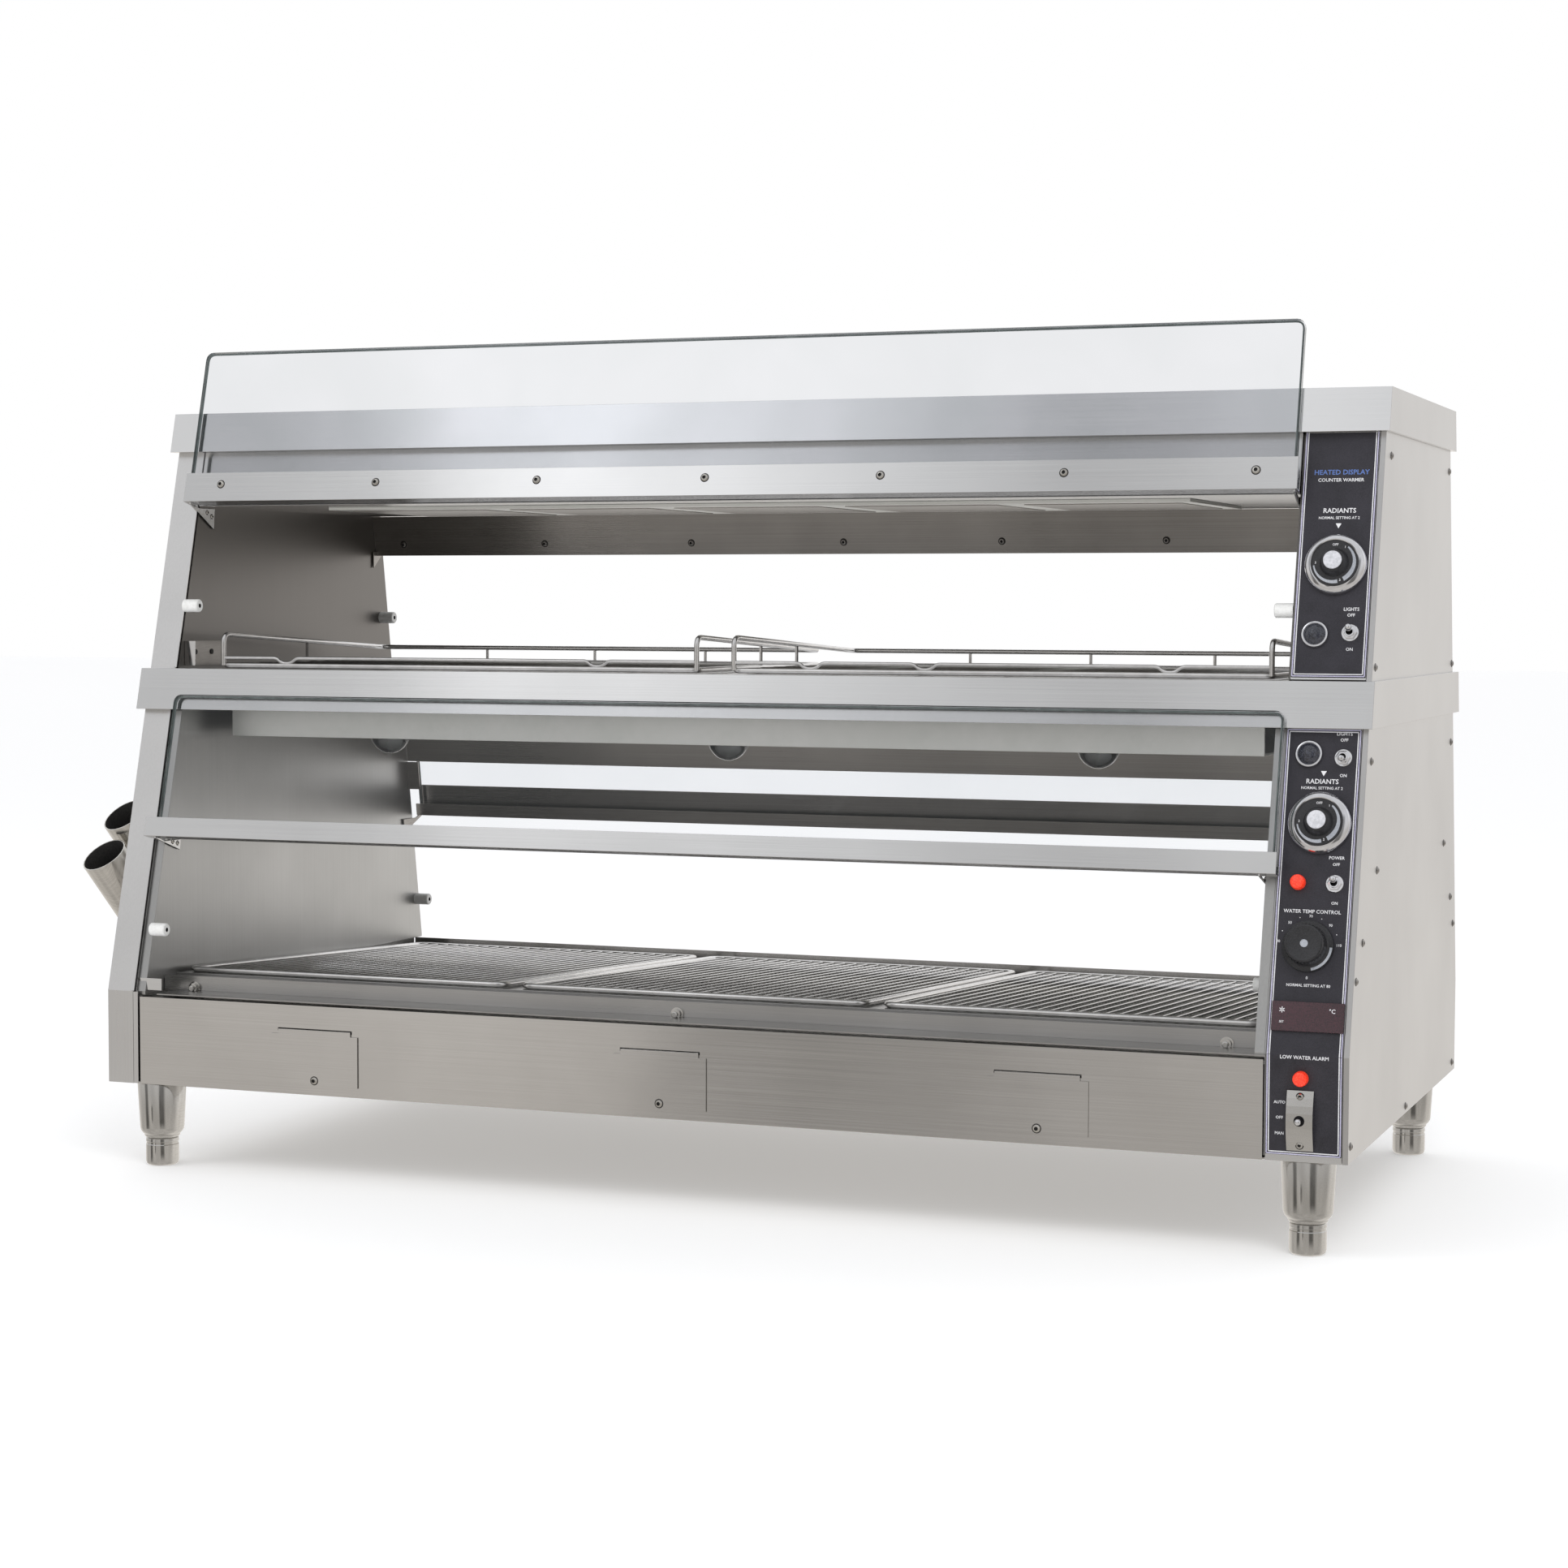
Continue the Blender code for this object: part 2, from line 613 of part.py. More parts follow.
# Each toggle is (x, z, lift): its lever rests up, down or straight out.
TOGGLE_TIP = radians(12.0)
TOGGLES = {
    "toggle_lever_upper": (700.0, 631.0, TOGGLE_TIP),
    "toggle_lever_lights": (701.0, 504.0, -TOGGLE_TIP),
    "toggle_lever_power": (700.0, 378.0, TOGGLE_TIP),
    "toggle_lever_fill": (677.0, 143.0, 0.0),
}


def controls():
    dial = [(0, 22), (9, 22), (10, 21), (10.4, 9), (23, 7.5), (24.5, 8), (30, 5.5), (31.8, 0.5), (31.8, 0), (0, 0)]
    for name, (x, z) in DIALS.items():
        finish(mounted(turned(name, dial, 32), x, z), DARK, 0.0, 0.35)
    knob = [(0, 24), (17, 24), (19.5, 22), (20.6, 6), (26.5, 4), (26.5, 0), (0, 0)]
    finish(mounted(turned("thermostat_knob", knob, 32), 677.0, 315.0), DARK, 0.0, 0.4)
    lever = [(0, 17), (2.4, 16.6), (3.2, 15), (3.0, 12), (1.9, 1.2), (1.4, 0.4), (0, 0.3)]
    for name, spot in TOGGLES.items():
        steel(mounted(turned(name, lever, 16), *spot), 0.15)
    pilot = [(0, 9), (5, 8.2), (9, 5.5), (10.5, 3), (13, 3), (14.3, 1.5), (14.3, 0), (0, 0)]
    finish(mounted(turned("pilot_lamp_upper", pilot), 664.0, 629.0), DARK, 0.0, 0.1)
    finish(mounted(turned("pilot_lamp_lower", pilot), 666.0, 507.0), DARK, 0.0, 0.1)
    signal = [(0, 9), (6.5, 8.5), (8, 7), (8, 0), (0, 0)]
    finish(mounted(turned("power_lamp", signal, 20), 663.0, 378.0), RED, 0.0, 0.3)
    finish(mounted(turned("alarm_lamp", signal, 20), 677.0, 185.0), RED, 0.0, 0.3)
    y, z = on_front(FACE + 1.5, 245.5)
    glass = cube("digital_display", (73.0, 30.0, 3.0))
    finish(place(glass, 681.5, y, z, radians(90) - ALPHA), (0.10, 0.02, 0.03, 1.0), 0.0, 0.2)
    guard()


def guard():
    """The bowed plate over the fill toggle, with a hole for its lever."""
    z0, z1, rise, steps = 112.0, 173.0, 6.0, 8
    outer, inner = [], []
    for k in range(steps + 1):
        z = z0 + (z1 - z0) * k / steps
        bow = rise * sin(pi * k / steps)
        outer.append((-FACE - bow - 1.6, z))
        inner.append((-FACE - bow, z))
    plate = along_x("toggle_guard", [outer + inner[::-1]], 663.5, 690.5)
    hole = bpy.data.meshes.new("hole")
    bm = bmesh.new()
    add_round(bm, 5.5, -5.0, 25.0)
    bm.to_mesh(hole)
    bm.free()
    cutter = place(bpy.data.objects.new("hole", hole), *(677.0, 0.0, 143.0), radians(90))
    steel(boolean(plate, cutter, "DIFFERENCE"))


sides()
base()
covers()
deck()
grids()
racks()
trims()
decks()
rails()
panes()
legs()
lamps()
tubes()
column()
controls()
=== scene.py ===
"""Looks of the two-tier heated counter display warmer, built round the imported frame."""

from math import atan, cos, pi, radians, sin

import bmesh
import bpy
from mathutils import Matrix, Vector


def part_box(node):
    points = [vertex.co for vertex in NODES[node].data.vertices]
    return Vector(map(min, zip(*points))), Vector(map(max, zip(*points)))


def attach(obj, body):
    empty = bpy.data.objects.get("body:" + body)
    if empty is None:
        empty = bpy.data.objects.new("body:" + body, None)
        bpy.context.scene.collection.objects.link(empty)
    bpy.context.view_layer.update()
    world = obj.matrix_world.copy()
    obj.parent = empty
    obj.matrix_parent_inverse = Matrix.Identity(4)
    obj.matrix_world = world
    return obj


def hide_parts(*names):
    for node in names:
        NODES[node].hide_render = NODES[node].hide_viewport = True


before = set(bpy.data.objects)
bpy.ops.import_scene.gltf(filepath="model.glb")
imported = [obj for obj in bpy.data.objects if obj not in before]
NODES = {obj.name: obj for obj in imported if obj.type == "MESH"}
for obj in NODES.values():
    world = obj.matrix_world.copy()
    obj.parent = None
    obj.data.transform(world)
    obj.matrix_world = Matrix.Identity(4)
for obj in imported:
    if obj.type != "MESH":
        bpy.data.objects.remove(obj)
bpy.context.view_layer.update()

# Sizes are in millimetres: x is the width, y runs front to back, z is up from the floor.
HALF = 725.0
DEPTH = 696.0
BEND_Z = 208.0
FRONT_TAN = 0.259
REAR_TAN = 0.163
ALPHA = atan(FRONT_TAN)
BETA = atan(REAR_TAN)
FALL = radians(3.0)
FACE_OFF = 1.5
LEFT_LINER = -689.1
RIGHT_LINER = 638.4
LOW_LEFT = -677.0
LOW_RIGHT = 628.0

# The frame gives the place of the cabinet's right skin and of its apron front.
ORIGIN = Vector((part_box("right_side_panel")[1].x - HALF / 1000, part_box("front_apron")[0].y, 0.0))


def at(x, y, z):
    """A place in millimetres as a point of the frame."""
    return ORIGIN + Vector((x, y, z)) / 1000


def front(z):
    return max(0.0, z - BEND_Z) * FRONT_TAN


def rear(z):
    return DEPTH - max(0.0, z - BEND_Z) * REAR_TAN


def front_point(x, z, off):
    """The point that stands off outward from the front at height z."""
    if z < BEND_Z:
        return at(x, -off, z)
    return at(x, front(z) - off * cos(ALPHA), z + off * sin(ALPHA))


def rear_point(x, z, off):
    return at(x, rear(z) + off * cos(BETA), z + off * sin(BETA))


def facing(point, outward, up=(0, 0, 1)):
    """A matrix at point whose z axis runs outward and whose y axis leans to up."""
    out = Vector(outward).normalized()
    side = Vector(up).cross(out).normalized()
    rise = out.cross(side)
    turn = Matrix((side, rise, out)).transposed().to_4x4()
    return Matrix.Translation(point) @ turn


def on_face(x, z, off=FACE_OFF):
    """The matrix of a spot on the control column's front."""
    lean = ALPHA if z >= BEND_Z else 0.0
    return facing(front_point(x, z, off), (0.0, -cos(lean), sin(lean)))


# Camera and stage

EYE = (1278.0, -3025.0, 655.0)
YAW = radians(20.95)
PITCH = radians(3.30)
ROLL = radians(-0.16)
LENS = 70.0
SENSOR = 36.0


def make_camera():
    forward = Vector((-sin(YAW) * cos(PITCH), cos(YAW) * cos(PITCH), -sin(PITCH)))
    level = Vector((cos(YAW), sin(YAW), 0.0))
    down = forward.cross(level)
    right = level * cos(ROLL) + down * sin(ROLL)
    below = down * cos(ROLL) - level * sin(ROLL)
    data = bpy.data.cameras.new("camera")
    data.lens = LENS
    data.sensor_width = SENSOR
    camera = bpy.data.objects.new("camera", data)
    turn = Matrix((right, -below, -forward)).transposed().to_4x4()
    camera.matrix_world = Matrix.Translation(at(*EYE)) @ turn
    bpy.context.scene.collection.objects.link(camera)
    bpy.context.scene.camera = camera


class Graph:
    """A node tree with a short way to add nodes."""

    def __init__(self, tree):
        self.tree = tree

    def add(self, kind, inputs=None, **settings):
        made = self.tree.nodes.new(kind)
        for key, value in settings.items():
            setattr(made, key, value)
        for key, value in (inputs or {}).items():
            if isinstance(value, bpy.types.NodeSocket):
                self.tree.links.new(value, made.inputs[key])
            else:
                made.inputs[key].default_value = value
        return made

    def noise(self, vector, **settings):
        inputs = {"Vector": vector, **{key.capitalize(): value for key, value in settings.items()}}
        return self.add("ShaderNodeTexNoise", inputs).outputs["Fac"]

    def math(self, operation, a, b):
        return self.add("ShaderNodeMath", {0: a, 1: b}, operation=operation).outputs[0]

    def span(self, value, low, high, to_low, to_high):
        """Maps value from low..high to to_low..to_high, held at the ends."""
        inputs = {"Value": value, "From Min": low, "From Max": high, "To Min": to_low, "To Max": to_high}
        return self.add("ShaderNodeMapRange", inputs).outputs[0]

    def blend(self, fac, a, b):
        made = self.add("ShaderNodeMix", {"Factor": fac}, data_type="RGBA")
        for key, value in ((6, a), (7, b)):
            if isinstance(value, bpy.types.NodeSocket):
                self.tree.links.new(value, made.inputs[key])
            else:
                made.inputs[key].default_value = value
        return made.outputs[2]


def rgb(r, g, b):
    return (r, g, b, 1.0)


# Soft windows and dark doorways of the room: edges across, edges in height, and how much brighter each is.
WINDOWS = [
    ((-0.60, -0.59, -0.20, -0.19), (0.40, 0.46, 0.70, 0.80), -0.14),
    ((-0.48, -0.455, -0.425, -0.27), (0.37, 0.47, 0.70, 0.80), 1.05),
    ((-0.232, -0.222, -0.205, -0.17), (0.30, 0.36, 0.70, 0.80), 0.26),
    ((-0.40, -0.385, -0.31, -0.245), (-0.30, -0.25, -0.10, -0.05), -0.44),
    ((-0.49, -0.47, -0.41, -0.40), (-0.30, -0.25, -0.10, -0.05), 0.08),
    ((0.25, 0.35, 0.60, 0.75), (-0.40, -0.30, 0.50, 0.60), -0.45),
    ((-0.85, -0.80, -0.66, -0.60), (-0.40, -0.30, 0.50, 0.60), -0.40),
]


def make_world():
    """A white studio for the eye, and a shaded room with soft windows for light and reflections."""
    world = bpy.data.worlds.new("studio")
    bpy.context.scene.world = world
    world.use_nodes = True
    g = Graph(world.node_tree)
    way = g.add("ShaderNodeTexCoord").outputs["Generated"]
    split = g.add("ShaderNodeSeparateXYZ", {0: way})
    x, y, z = split.outputs
    ahead = g.span(y, -0.2, -0.4, 0.0, 1.0)
    height = g.span(z, -0.10, 0.34, 0.62, 0.74)
    clouds = g.add("ShaderNodeTexNoise", {"Vector": way, "Scale": 2.3, "Detail": 1.0}).outputs["Fac"]
    uneven = g.span(clouds, 0.35, 0.65, -0.06, 0.06)
    features = None
    for edges, levels, amount in WINDOWS:
        across = g.math("MULTIPLY", g.span(x, *edges[:2], 0.0, 1.0), g.span(x, *edges[2:], 1.0, 0.0))
        tall = g.math("MULTIPLY", g.span(z, *levels[:2], 0.0, amount), g.span(z, *levels[2:], 1.0, 0.0))
        one = g.math("MULTIPLY", across, tall)
        features = one if features is None else g.math("ADD", features, one)
    features = g.math("MULTIPLY", features, ahead)
    behind = g.span(y, 0.1, 0.5, 0.0, 0.35)
    level = g.math("ADD", g.math("ADD", height, uneven), g.math("ADD", features, behind))
    warm = g.blend(g.span(z, -0.2, 0.5, 0.0, 1.0), rgb(0.98, 0.94, 0.89), rgb(0.97, 0.98, 1.0))
    room = g.add("ShaderNodeVectorMath", {0: warm, 3: level}, operation="SCALE").outputs[0]
    eye = g.add("ShaderNodeLightPath").outputs["Is Camera Ray"]
    seen = g.blend(eye, room, rgb(1.0, 1.0, 1.0))
    g.tree.links.new(seen, g.tree.nodes["Background"].inputs["Color"])


def area_light(name, place, target, size, power):
    data = bpy.data.lights.new(name, "AREA")
    data.shape = "RECTANGLE"
    data.size, data.size_y = size
    data.energy = power
    light = bpy.data.objects.new(name, data)
    light.matrix_world = facing(at(*place), at(*place) - at(*target))
    bpy.context.scene.collection.objects.link(light)
    light.visible_camera = False
    light.visible_glossy = False


def make_stage():
    mesh = bpy.data.meshes.new("floor")
    bm = bmesh.new()
    bmesh.ops.create_grid(bm, x_segments=8, y_segments=8, size=30.0)
    bm.to_mesh(mesh)
    bm.free()
    floor = bpy.data.objects.new("floor", mesh)
    pale = bpy.data.materials.new("floor_pale")
    pale.use_nodes = True
    g = Graph(pale.node_tree)
    bsdf = g.tree.nodes["Principled BSDF"]
    grain = g.add("ShaderNodeTexNoise", {"Scale": 3.0, "Detail": 3.0}).outputs["Fac"]
    tone = g.blend(grain, rgb(0.90, 0.90, 0.90), rgb(0.93, 0.93, 0.93))
    g.tree.links.new(tone, bsdf.inputs["Base Color"])
    bsdf.inputs["Roughness"].default_value = 0.9
    bsdf.inputs["Specular IOR Level"].default_value = 0.1
    bsdf.inputs["Emission Color"].default_value = rgb(1.0, 1.0, 1.0)
    bsdf.inputs["Emission Strength"].default_value = 0.22
    mesh.materials.append(pale)
    bpy.context.scene.collection.objects.link(floor)
    floor.visible_glossy = False
    area_light("key", (2400.0, -2600.0, 3200.0), (0.0, 300.0, 400.0), (2.4, 1.8), 55.0)
    area_light("left", (-3200.0, -1800.0, 2400.0), (0.0, 300.0, 400.0), (2.4, 1.8), 30.0)
    area_light("top", (0.0, 300.0, 3600.0), (0.0, 300.0, 0.0), (3.0, 2.4), 30.0)
    bpy.context.scene.view_settings.view_transform = "Standard"


# Materials

ACROSS = (3.0, 40.0, 1100.0)
UPWARD = (420.0, 900.0, 4.0)
LENGTHWISE = (900.0, 3.0, 900.0)
# The brushing runs along x; the small y part keeps a side face's tangent from vanishing.
ALONG_SHEET = (1.0, 0.02, 0.0)


def fresh(name):
    made = bpy.data.materials.new(name)
    made.use_nodes = True
    g = Graph(made.node_tree)
    return made, g, g.tree.nodes["Principled BSDF"]


def lift(g, bsdf, height, strength, distance):
    inputs = {"Height": height, "Strength": strength, "Distance": distance}
    g.tree.links.new(g.add("ShaderNodeBump", inputs).outputs[0], bsdf.inputs["Normal"])


def steel(name, dark, light, rough, grain=ACROSS, streak=0.5, bump=0.12, shade=None, drawn=0.0):
    """Brushed sheet: fine lines along the grain, blotches and smears. Drawn spreads its highlights upward."""
    made, g, bsdf = fresh(name)
    place = g.add("ShaderNodeTexCoord").outputs["Object"]
    along = g.add("ShaderNodeMapping", {"Vector": place, "Scale": grain}).outputs[0]
    lines = g.noise(along, scale=1.0, detail=4.0, roughness=0.7)
    blotch = g.noise(place, scale=6.0, detail=4.0)
    smear = g.noise(place, scale=1.7, detail=2.0, distortion=0.6)
    tone = g.math("ADD", g.math("MULTIPLY", lines, streak), g.math("MULTIPLY", blotch, 1.0 - streak))
    tone = g.span(tone, 0.34, 0.66, 0.0, 1.0)
    colour = g.blend(tone, rgb(*dark), rgb(*light))
    # Painted shade: above the given heights the sheet's colour blends into the given dark tone.
    if shade:
        z = g.add("ShaderNodeSeparateXYZ", {0: place}).outputs[2]
        colour = g.blend(g.span(z, shade[0] / 1000, shade[1] / 1000, 0.0, 1.0), colour, rgb(*shade[2]))
    g.tree.links.new(colour, bsdf.inputs["Base Color"])
    bsdf.inputs["Metallic"].default_value = 1.0
    if drawn:
        normal = g.add("ShaderNodeNewGeometry").outputs["Normal"]
        upward = g.add("ShaderNodeVectorMath", {0: normal, 1: ALONG_SHEET}, operation="CROSS_PRODUCT")
        g.tree.links.new(upward.outputs[0], bsdf.inputs["Tangent"])
        bsdf.inputs["Anisotropic"].default_value = drawn
    patchy = g.span(smear, 0.3, 0.7, rough - 0.03, rough + 0.03)
    worn = g.math("ADD", patchy, g.span(lines, 0.3, 0.7, -0.02, 0.02))
    g.tree.links.new(worn, bsdf.inputs["Roughness"])
    lift(g, bsdf, lines, bump, 0.0003)
    return made


def plain(name, dark, light, rough, scale, metal=0.0, bump=0.1, coat=0.0):
    """Moulded or painted stuff with a fine grain."""
    made, g, bsdf = fresh(name)
    place = g.add("ShaderNodeTexCoord").outputs["Object"]
    fine = g.add("ShaderNodeTexNoise", {"Vector": place, "Scale": scale, "Detail": 3.0}).outputs["Fac"]
    slow = g.add("ShaderNodeTexNoise", {"Vector": place, "Scale": scale / 40, "Detail": 2.0}).outputs["Fac"]
    tone = g.span(g.math("ADD", fine, g.math("MULTIPLY", slow, 0.5)), 0.55, 0.95, 0.0, 1.0)
    g.tree.links.new(g.blend(tone, rgb(*dark), rgb(*light)), bsdf.inputs["Base Color"])
    g.tree.links.new(g.span(slow, 0.3, 0.7, rough - 0.05, rough + 0.06), bsdf.inputs["Roughness"])
    bsdf.inputs["Metallic"].default_value = metal
    bsdf.inputs["Coat Weight"].default_value = coat
    lift(g, bsdf, fine, bump, 0.0002)
    return made


def pane_glass(name, clean, filmed):
    """Flat sheet glass: tinted see-through with a mirror that grows at low angles."""
    made = bpy.data.materials.new(name)
    made.use_nodes = True
    g = Graph(made.node_tree)
    g.tree.nodes.remove(g.tree.nodes["Principled BSDF"])
    place = g.add("ShaderNodeTexCoord").outputs["Object"]
    film = g.noise(place, scale=7.0, detail=5.0, distortion=0.5)
    tint = g.blend(g.span(film, 0.35, 0.7, 0.0, 1.0), rgb(*clean), rgb(*filmed))
    clear = g.add("ShaderNodeBsdfTransparent", {"Color": tint}).outputs[0]
    mirror = g.add("ShaderNodeBsdfGlossy", {"Color": rgb(0.95, 0.97, 0.98), "Roughness": 0.03}).outputs[0]
    share = g.add("ShaderNodeFresnel", {"IOR": 1.42}).outputs[0]
    outside = g.add("ShaderNodeNewGeometry").outputs["Backfacing"]
    share = g.math("MULTIPLY", share, g.math("SUBTRACT", 1.0, outside))
    both = g.add("ShaderNodeMixShader", {0: share, 1: clear, 2: mirror}).outputs[0]
    g.tree.links.new(both, g.tree.nodes["Material Output"].inputs["Surface"])
    return made


def bulb_glass(name):
    made, g, bsdf = fresh(name)
    place = g.add("ShaderNodeTexCoord").outputs["Object"]
    ripple = g.add("ShaderNodeTexNoise", {"Vector": place, "Scale": 90.0, "Detail": 2.0}).outputs["Fac"]
    g.tree.links.new(g.blend(ripple, rgb(0.97, 0.98, 0.98), rgb(1.0, 1.0, 1.0)), bsdf.inputs["Base Color"])
    g.tree.links.new(g.span(ripple, 0.3, 0.7, 0.0, 0.05), bsdf.inputs["Roughness"])
    bsdf.inputs["Transmission Weight"].default_value = 1.0
    bsdf.inputs["IOR"].default_value = 1.45
    return made


def lens(name, dark, light, glow):
    """A coloured jewel with faint moulded ribs."""
    made, g, bsdf = fresh(name)
    place = g.add("ShaderNodeTexCoord").outputs["Object"]
    ribs = g.add("ShaderNodeTexNoise", {"Vector": place, "Scale": 700.0, "Detail": 2.0}).outputs["Fac"]
    tone = g.blend(g.span(ribs, 0.35, 0.65, 0.0, 1.0), rgb(*dark), rgb(*light))
    g.tree.links.new(tone, bsdf.inputs["Base Color"])
    g.tree.links.new(tone, bsdf.inputs["Emission Color"])
    bsdf.inputs["Emission Strength"].default_value = glow
    g.tree.links.new(g.span(ribs, 0.3, 0.7, 0.15, 0.3), bsdf.inputs["Roughness"])
    bsdf.inputs["Coat Weight"].default_value = 0.6
    bsdf.inputs["Coat Roughness"].default_value = 0.08
    lift(g, bsdf, ribs, 0.1, 0.0003)
    return made


BRUSHED = steel("brushed_steel", (0.64, 0.64, 0.64), (0.73, 0.73, 0.73), 0.18, bump=0.04, drawn=0.95)
CAP_STEEL = steel("cap_steel", (0.84, 0.84, 0.84), (0.91, 0.91, 0.91), 0.18, bump=0.04, drawn=0.95)
APRON = steel("apron_steel", (0.56, 0.545, 0.525), (0.66, 0.645, 0.625), 0.18, bump=0.04, drawn=0.95)
LIP = steel("lip_steel", (0.42, 0.415, 0.41), (0.53, 0.525, 0.52), 0.30)
SIDE = steel("side_steel", (0.54, 0.535, 0.53), (0.61, 0.605, 0.60), 0.34, UPWARD, 0.4, 0.05)
# Painted shade on both liners: from 520 to 590 mm up, into the upper tier, their colour blends into dark
# brown.
UPPER_TIER_PAINTED_SHADE = (520, 590, (0.20, 0.19, 0.18))
LINER = steel(
    "liner_steel", (0.44, 0.44, 0.435), (0.53, 0.53, 0.525), 0.36, UPWARD, 0.4, 0.05, UPPER_TIER_PAINTED_SHADE
)
POST_STEEL = steel("post_steel", (0.70, 0.695, 0.69), (0.79, 0.785, 0.78), 0.32, UPWARD, 0.4, 0.05)
DARK_STEEL = steel("heat_tinted_steel", (0.28, 0.265, 0.25), (0.42, 0.40, 0.38), 0.30)
CEILING = steel("ceiling_steel", (0.84, 0.86, 0.83), (0.96, 0.97, 0.95), 0.42, (30.0, 90.0, 30.0), 0.6)
POLISHED = steel("polished_steel", (0.44, 0.43, 0.41), (0.64, 0.63, 0.61), 0.12, LENGTHWISE, 0.3, 0.05)
CHROME = steel("chrome", (0.72, 0.72, 0.74), (0.86, 0.86, 0.88), 0.10, (200.0, 200.0, 200.0), 0.3, 0.03)
WIRE = steel("wire_steel", (0.60, 0.59, 0.58), (0.82, 0.81, 0.80), 0.24, (60.0, 60.0, 60.0), 0.5, 0.05)
TUBE_STEEL = steel("tube_steel", (0.42, 0.40, 0.37), (0.68, 0.66, 0.62), 0.17, (30.0, 700.0, 30.0), 0.4, 0.06)
BLACK_FACE = plain("black_face", (0.014, 0.013, 0.018), (0.036, 0.034, 0.044), 0.50, 1500.0, bump=0.3)
BLACK_KNOB = plain("black_knob", (0.010, 0.010, 0.011), (0.030, 0.030, 0.033), 0.32, 900.0, bump=0.1)
# Painted shadow for recesses: screw sockets and rings, peg holes, tube bores, a bushing's bore and a
# bracket's holes.
SHADOW = plain("painted_recess_shadow", (0.010, 0.010, 0.010), (0.030, 0.028, 0.026), 0.60, 500.0)
NYLON = plain("white_nylon", (0.78, 0.78, 0.76), (0.88, 0.88, 0.87), 0.42, 300.0, bump=0.05)
INK = plain("white_ink", (0.68, 0.68, 0.70), (0.88, 0.88, 0.90), 0.50, 2000.0)
BLUE_INK = plain("blue_ink", (0.09, 0.16, 0.42), (0.14, 0.24, 0.58), 0.50, 2000.0)
LILAC_INK = plain("border_ink", (0.42, 0.40, 0.58), (0.66, 0.64, 0.78), 0.40, 1500.0)
SCALE_INK = plain("scale_ink", (0.30, 0.32, 0.36), (0.50, 0.52, 0.56), 0.45, 1500.0)
CAP_WHITE = plain("cap_white", (0.50, 0.51, 0.54), (0.70, 0.70, 0.74), 0.30, 400.0, coat=0.4)
DISPLAY = plain("display_maroon", (0.020, 0.006, 0.010), (0.050, 0.014, 0.022), 0.16, 600.0, coat=0.5)
RED_LENS = lens("red_lens", (0.75, 0.025, 0.010), (0.95, 0.060, 0.020), 0.35)
DARK_LENS = lens("dark_lens", (0.010, 0.011, 0.016), (0.045, 0.048, 0.065), 0.0)
UPPER_GLASS = pane_glass("upper_pane_glass", (0.922, 0.925, 0.935), (0.900, 0.906, 0.914))
LOWER_GLASS = pane_glass("lower_pane_glass", (0.970, 0.973, 0.978), (0.955, 0.960, 0.965))
GLASS_EDGE = plain("glass_edge", (0.035, 0.050, 0.047), (0.10, 0.125, 0.12), 0.15, 60.0, coat=0.5)
BULB = bulb_glass("bulb_glass")

NODE_LOOKS = {
    "front_apron": APRON,
    "rear_apron": APRON,
    "base_pan": APRON,
    "mid_trim": BRUSHED,
    "top_cap": CAP_STEEL,
    "control_front_upper": BRUSHED,
    "control_front_lower": BRUSHED,
    "upper_front_rail": BRUSHED,
    "lower_front_rail": BRUSHED,
    "upper_rear_rail": DARK_STEEL,
    "lower_rear_rail": DARK_STEEL,
    "upper_heater_housing": BRUSHED,
    "left_side_panel": POST_STEEL,
    "right_side_panel": SIDE,
    "left_inner_panel": LINER,
    "right_inner_panel": LINER,
    "rear_header": DARK_STEEL,
    "lower_ceiling_pan": CEILING,
    "water_pan": APRON,
    "deck_frame": LIP,
    "mid_deck": BRUSHED,
    "toggle_guard": POLISHED,
    "control_face_upper": BLACK_FACE,
    "control_face_lower": BLACK_FACE,
    "digital_display": DISPLAY,
    "upper_front_glass": UPPER_GLASS,
    "lower_front_glass": LOWER_GLASS,
    "lower_rear_glass": LOWER_GLASS,
    "utensil_tube_1": TUBE_STEEL,
    "utensil_tube_2": TUBE_STEEL,
    "access_cover_1": APRON,
    "access_cover_2": APRON,
    "access_cover_3": APRON,
}
PANES = {
    "upper_front_glass": (0.0, -cos(ALPHA), sin(ALPHA)),
    "lower_front_glass": (0.0, -cos(ALPHA), sin(ALPHA)),
    "lower_rear_glass": (0.0, cos(BETA), sin(BETA)),
}
EDGE_ROUND = 0.0005
SIDE_FACED = ("top_cap", "mid_trim")
TUBE_AXIS = Vector((-0.2, -0.58, 0.79)).normalized()
TUBE_BORE = 0.0268
TUBE_MOUTHS = {"utensil_tube_1": (-783.0, 82.0, 358.0), "utensil_tube_2": (-783.0, 127.0, 403.0)}


def darken_bore(obj, mouth):
    """Paints shade into a utensil tube: the bore near its mouth takes the dark recess material."""
    obj.data.materials.append(SHADOW)
    for face in obj.data.polygons:
        away = face.center - mouth
        depth = away.dot(TUBE_AXIS)
        if (away - TUBE_AXIS * depth).length < TUBE_BORE and depth < -0.0001:
            face.material_index = 1 if depth > -0.1479 else 0


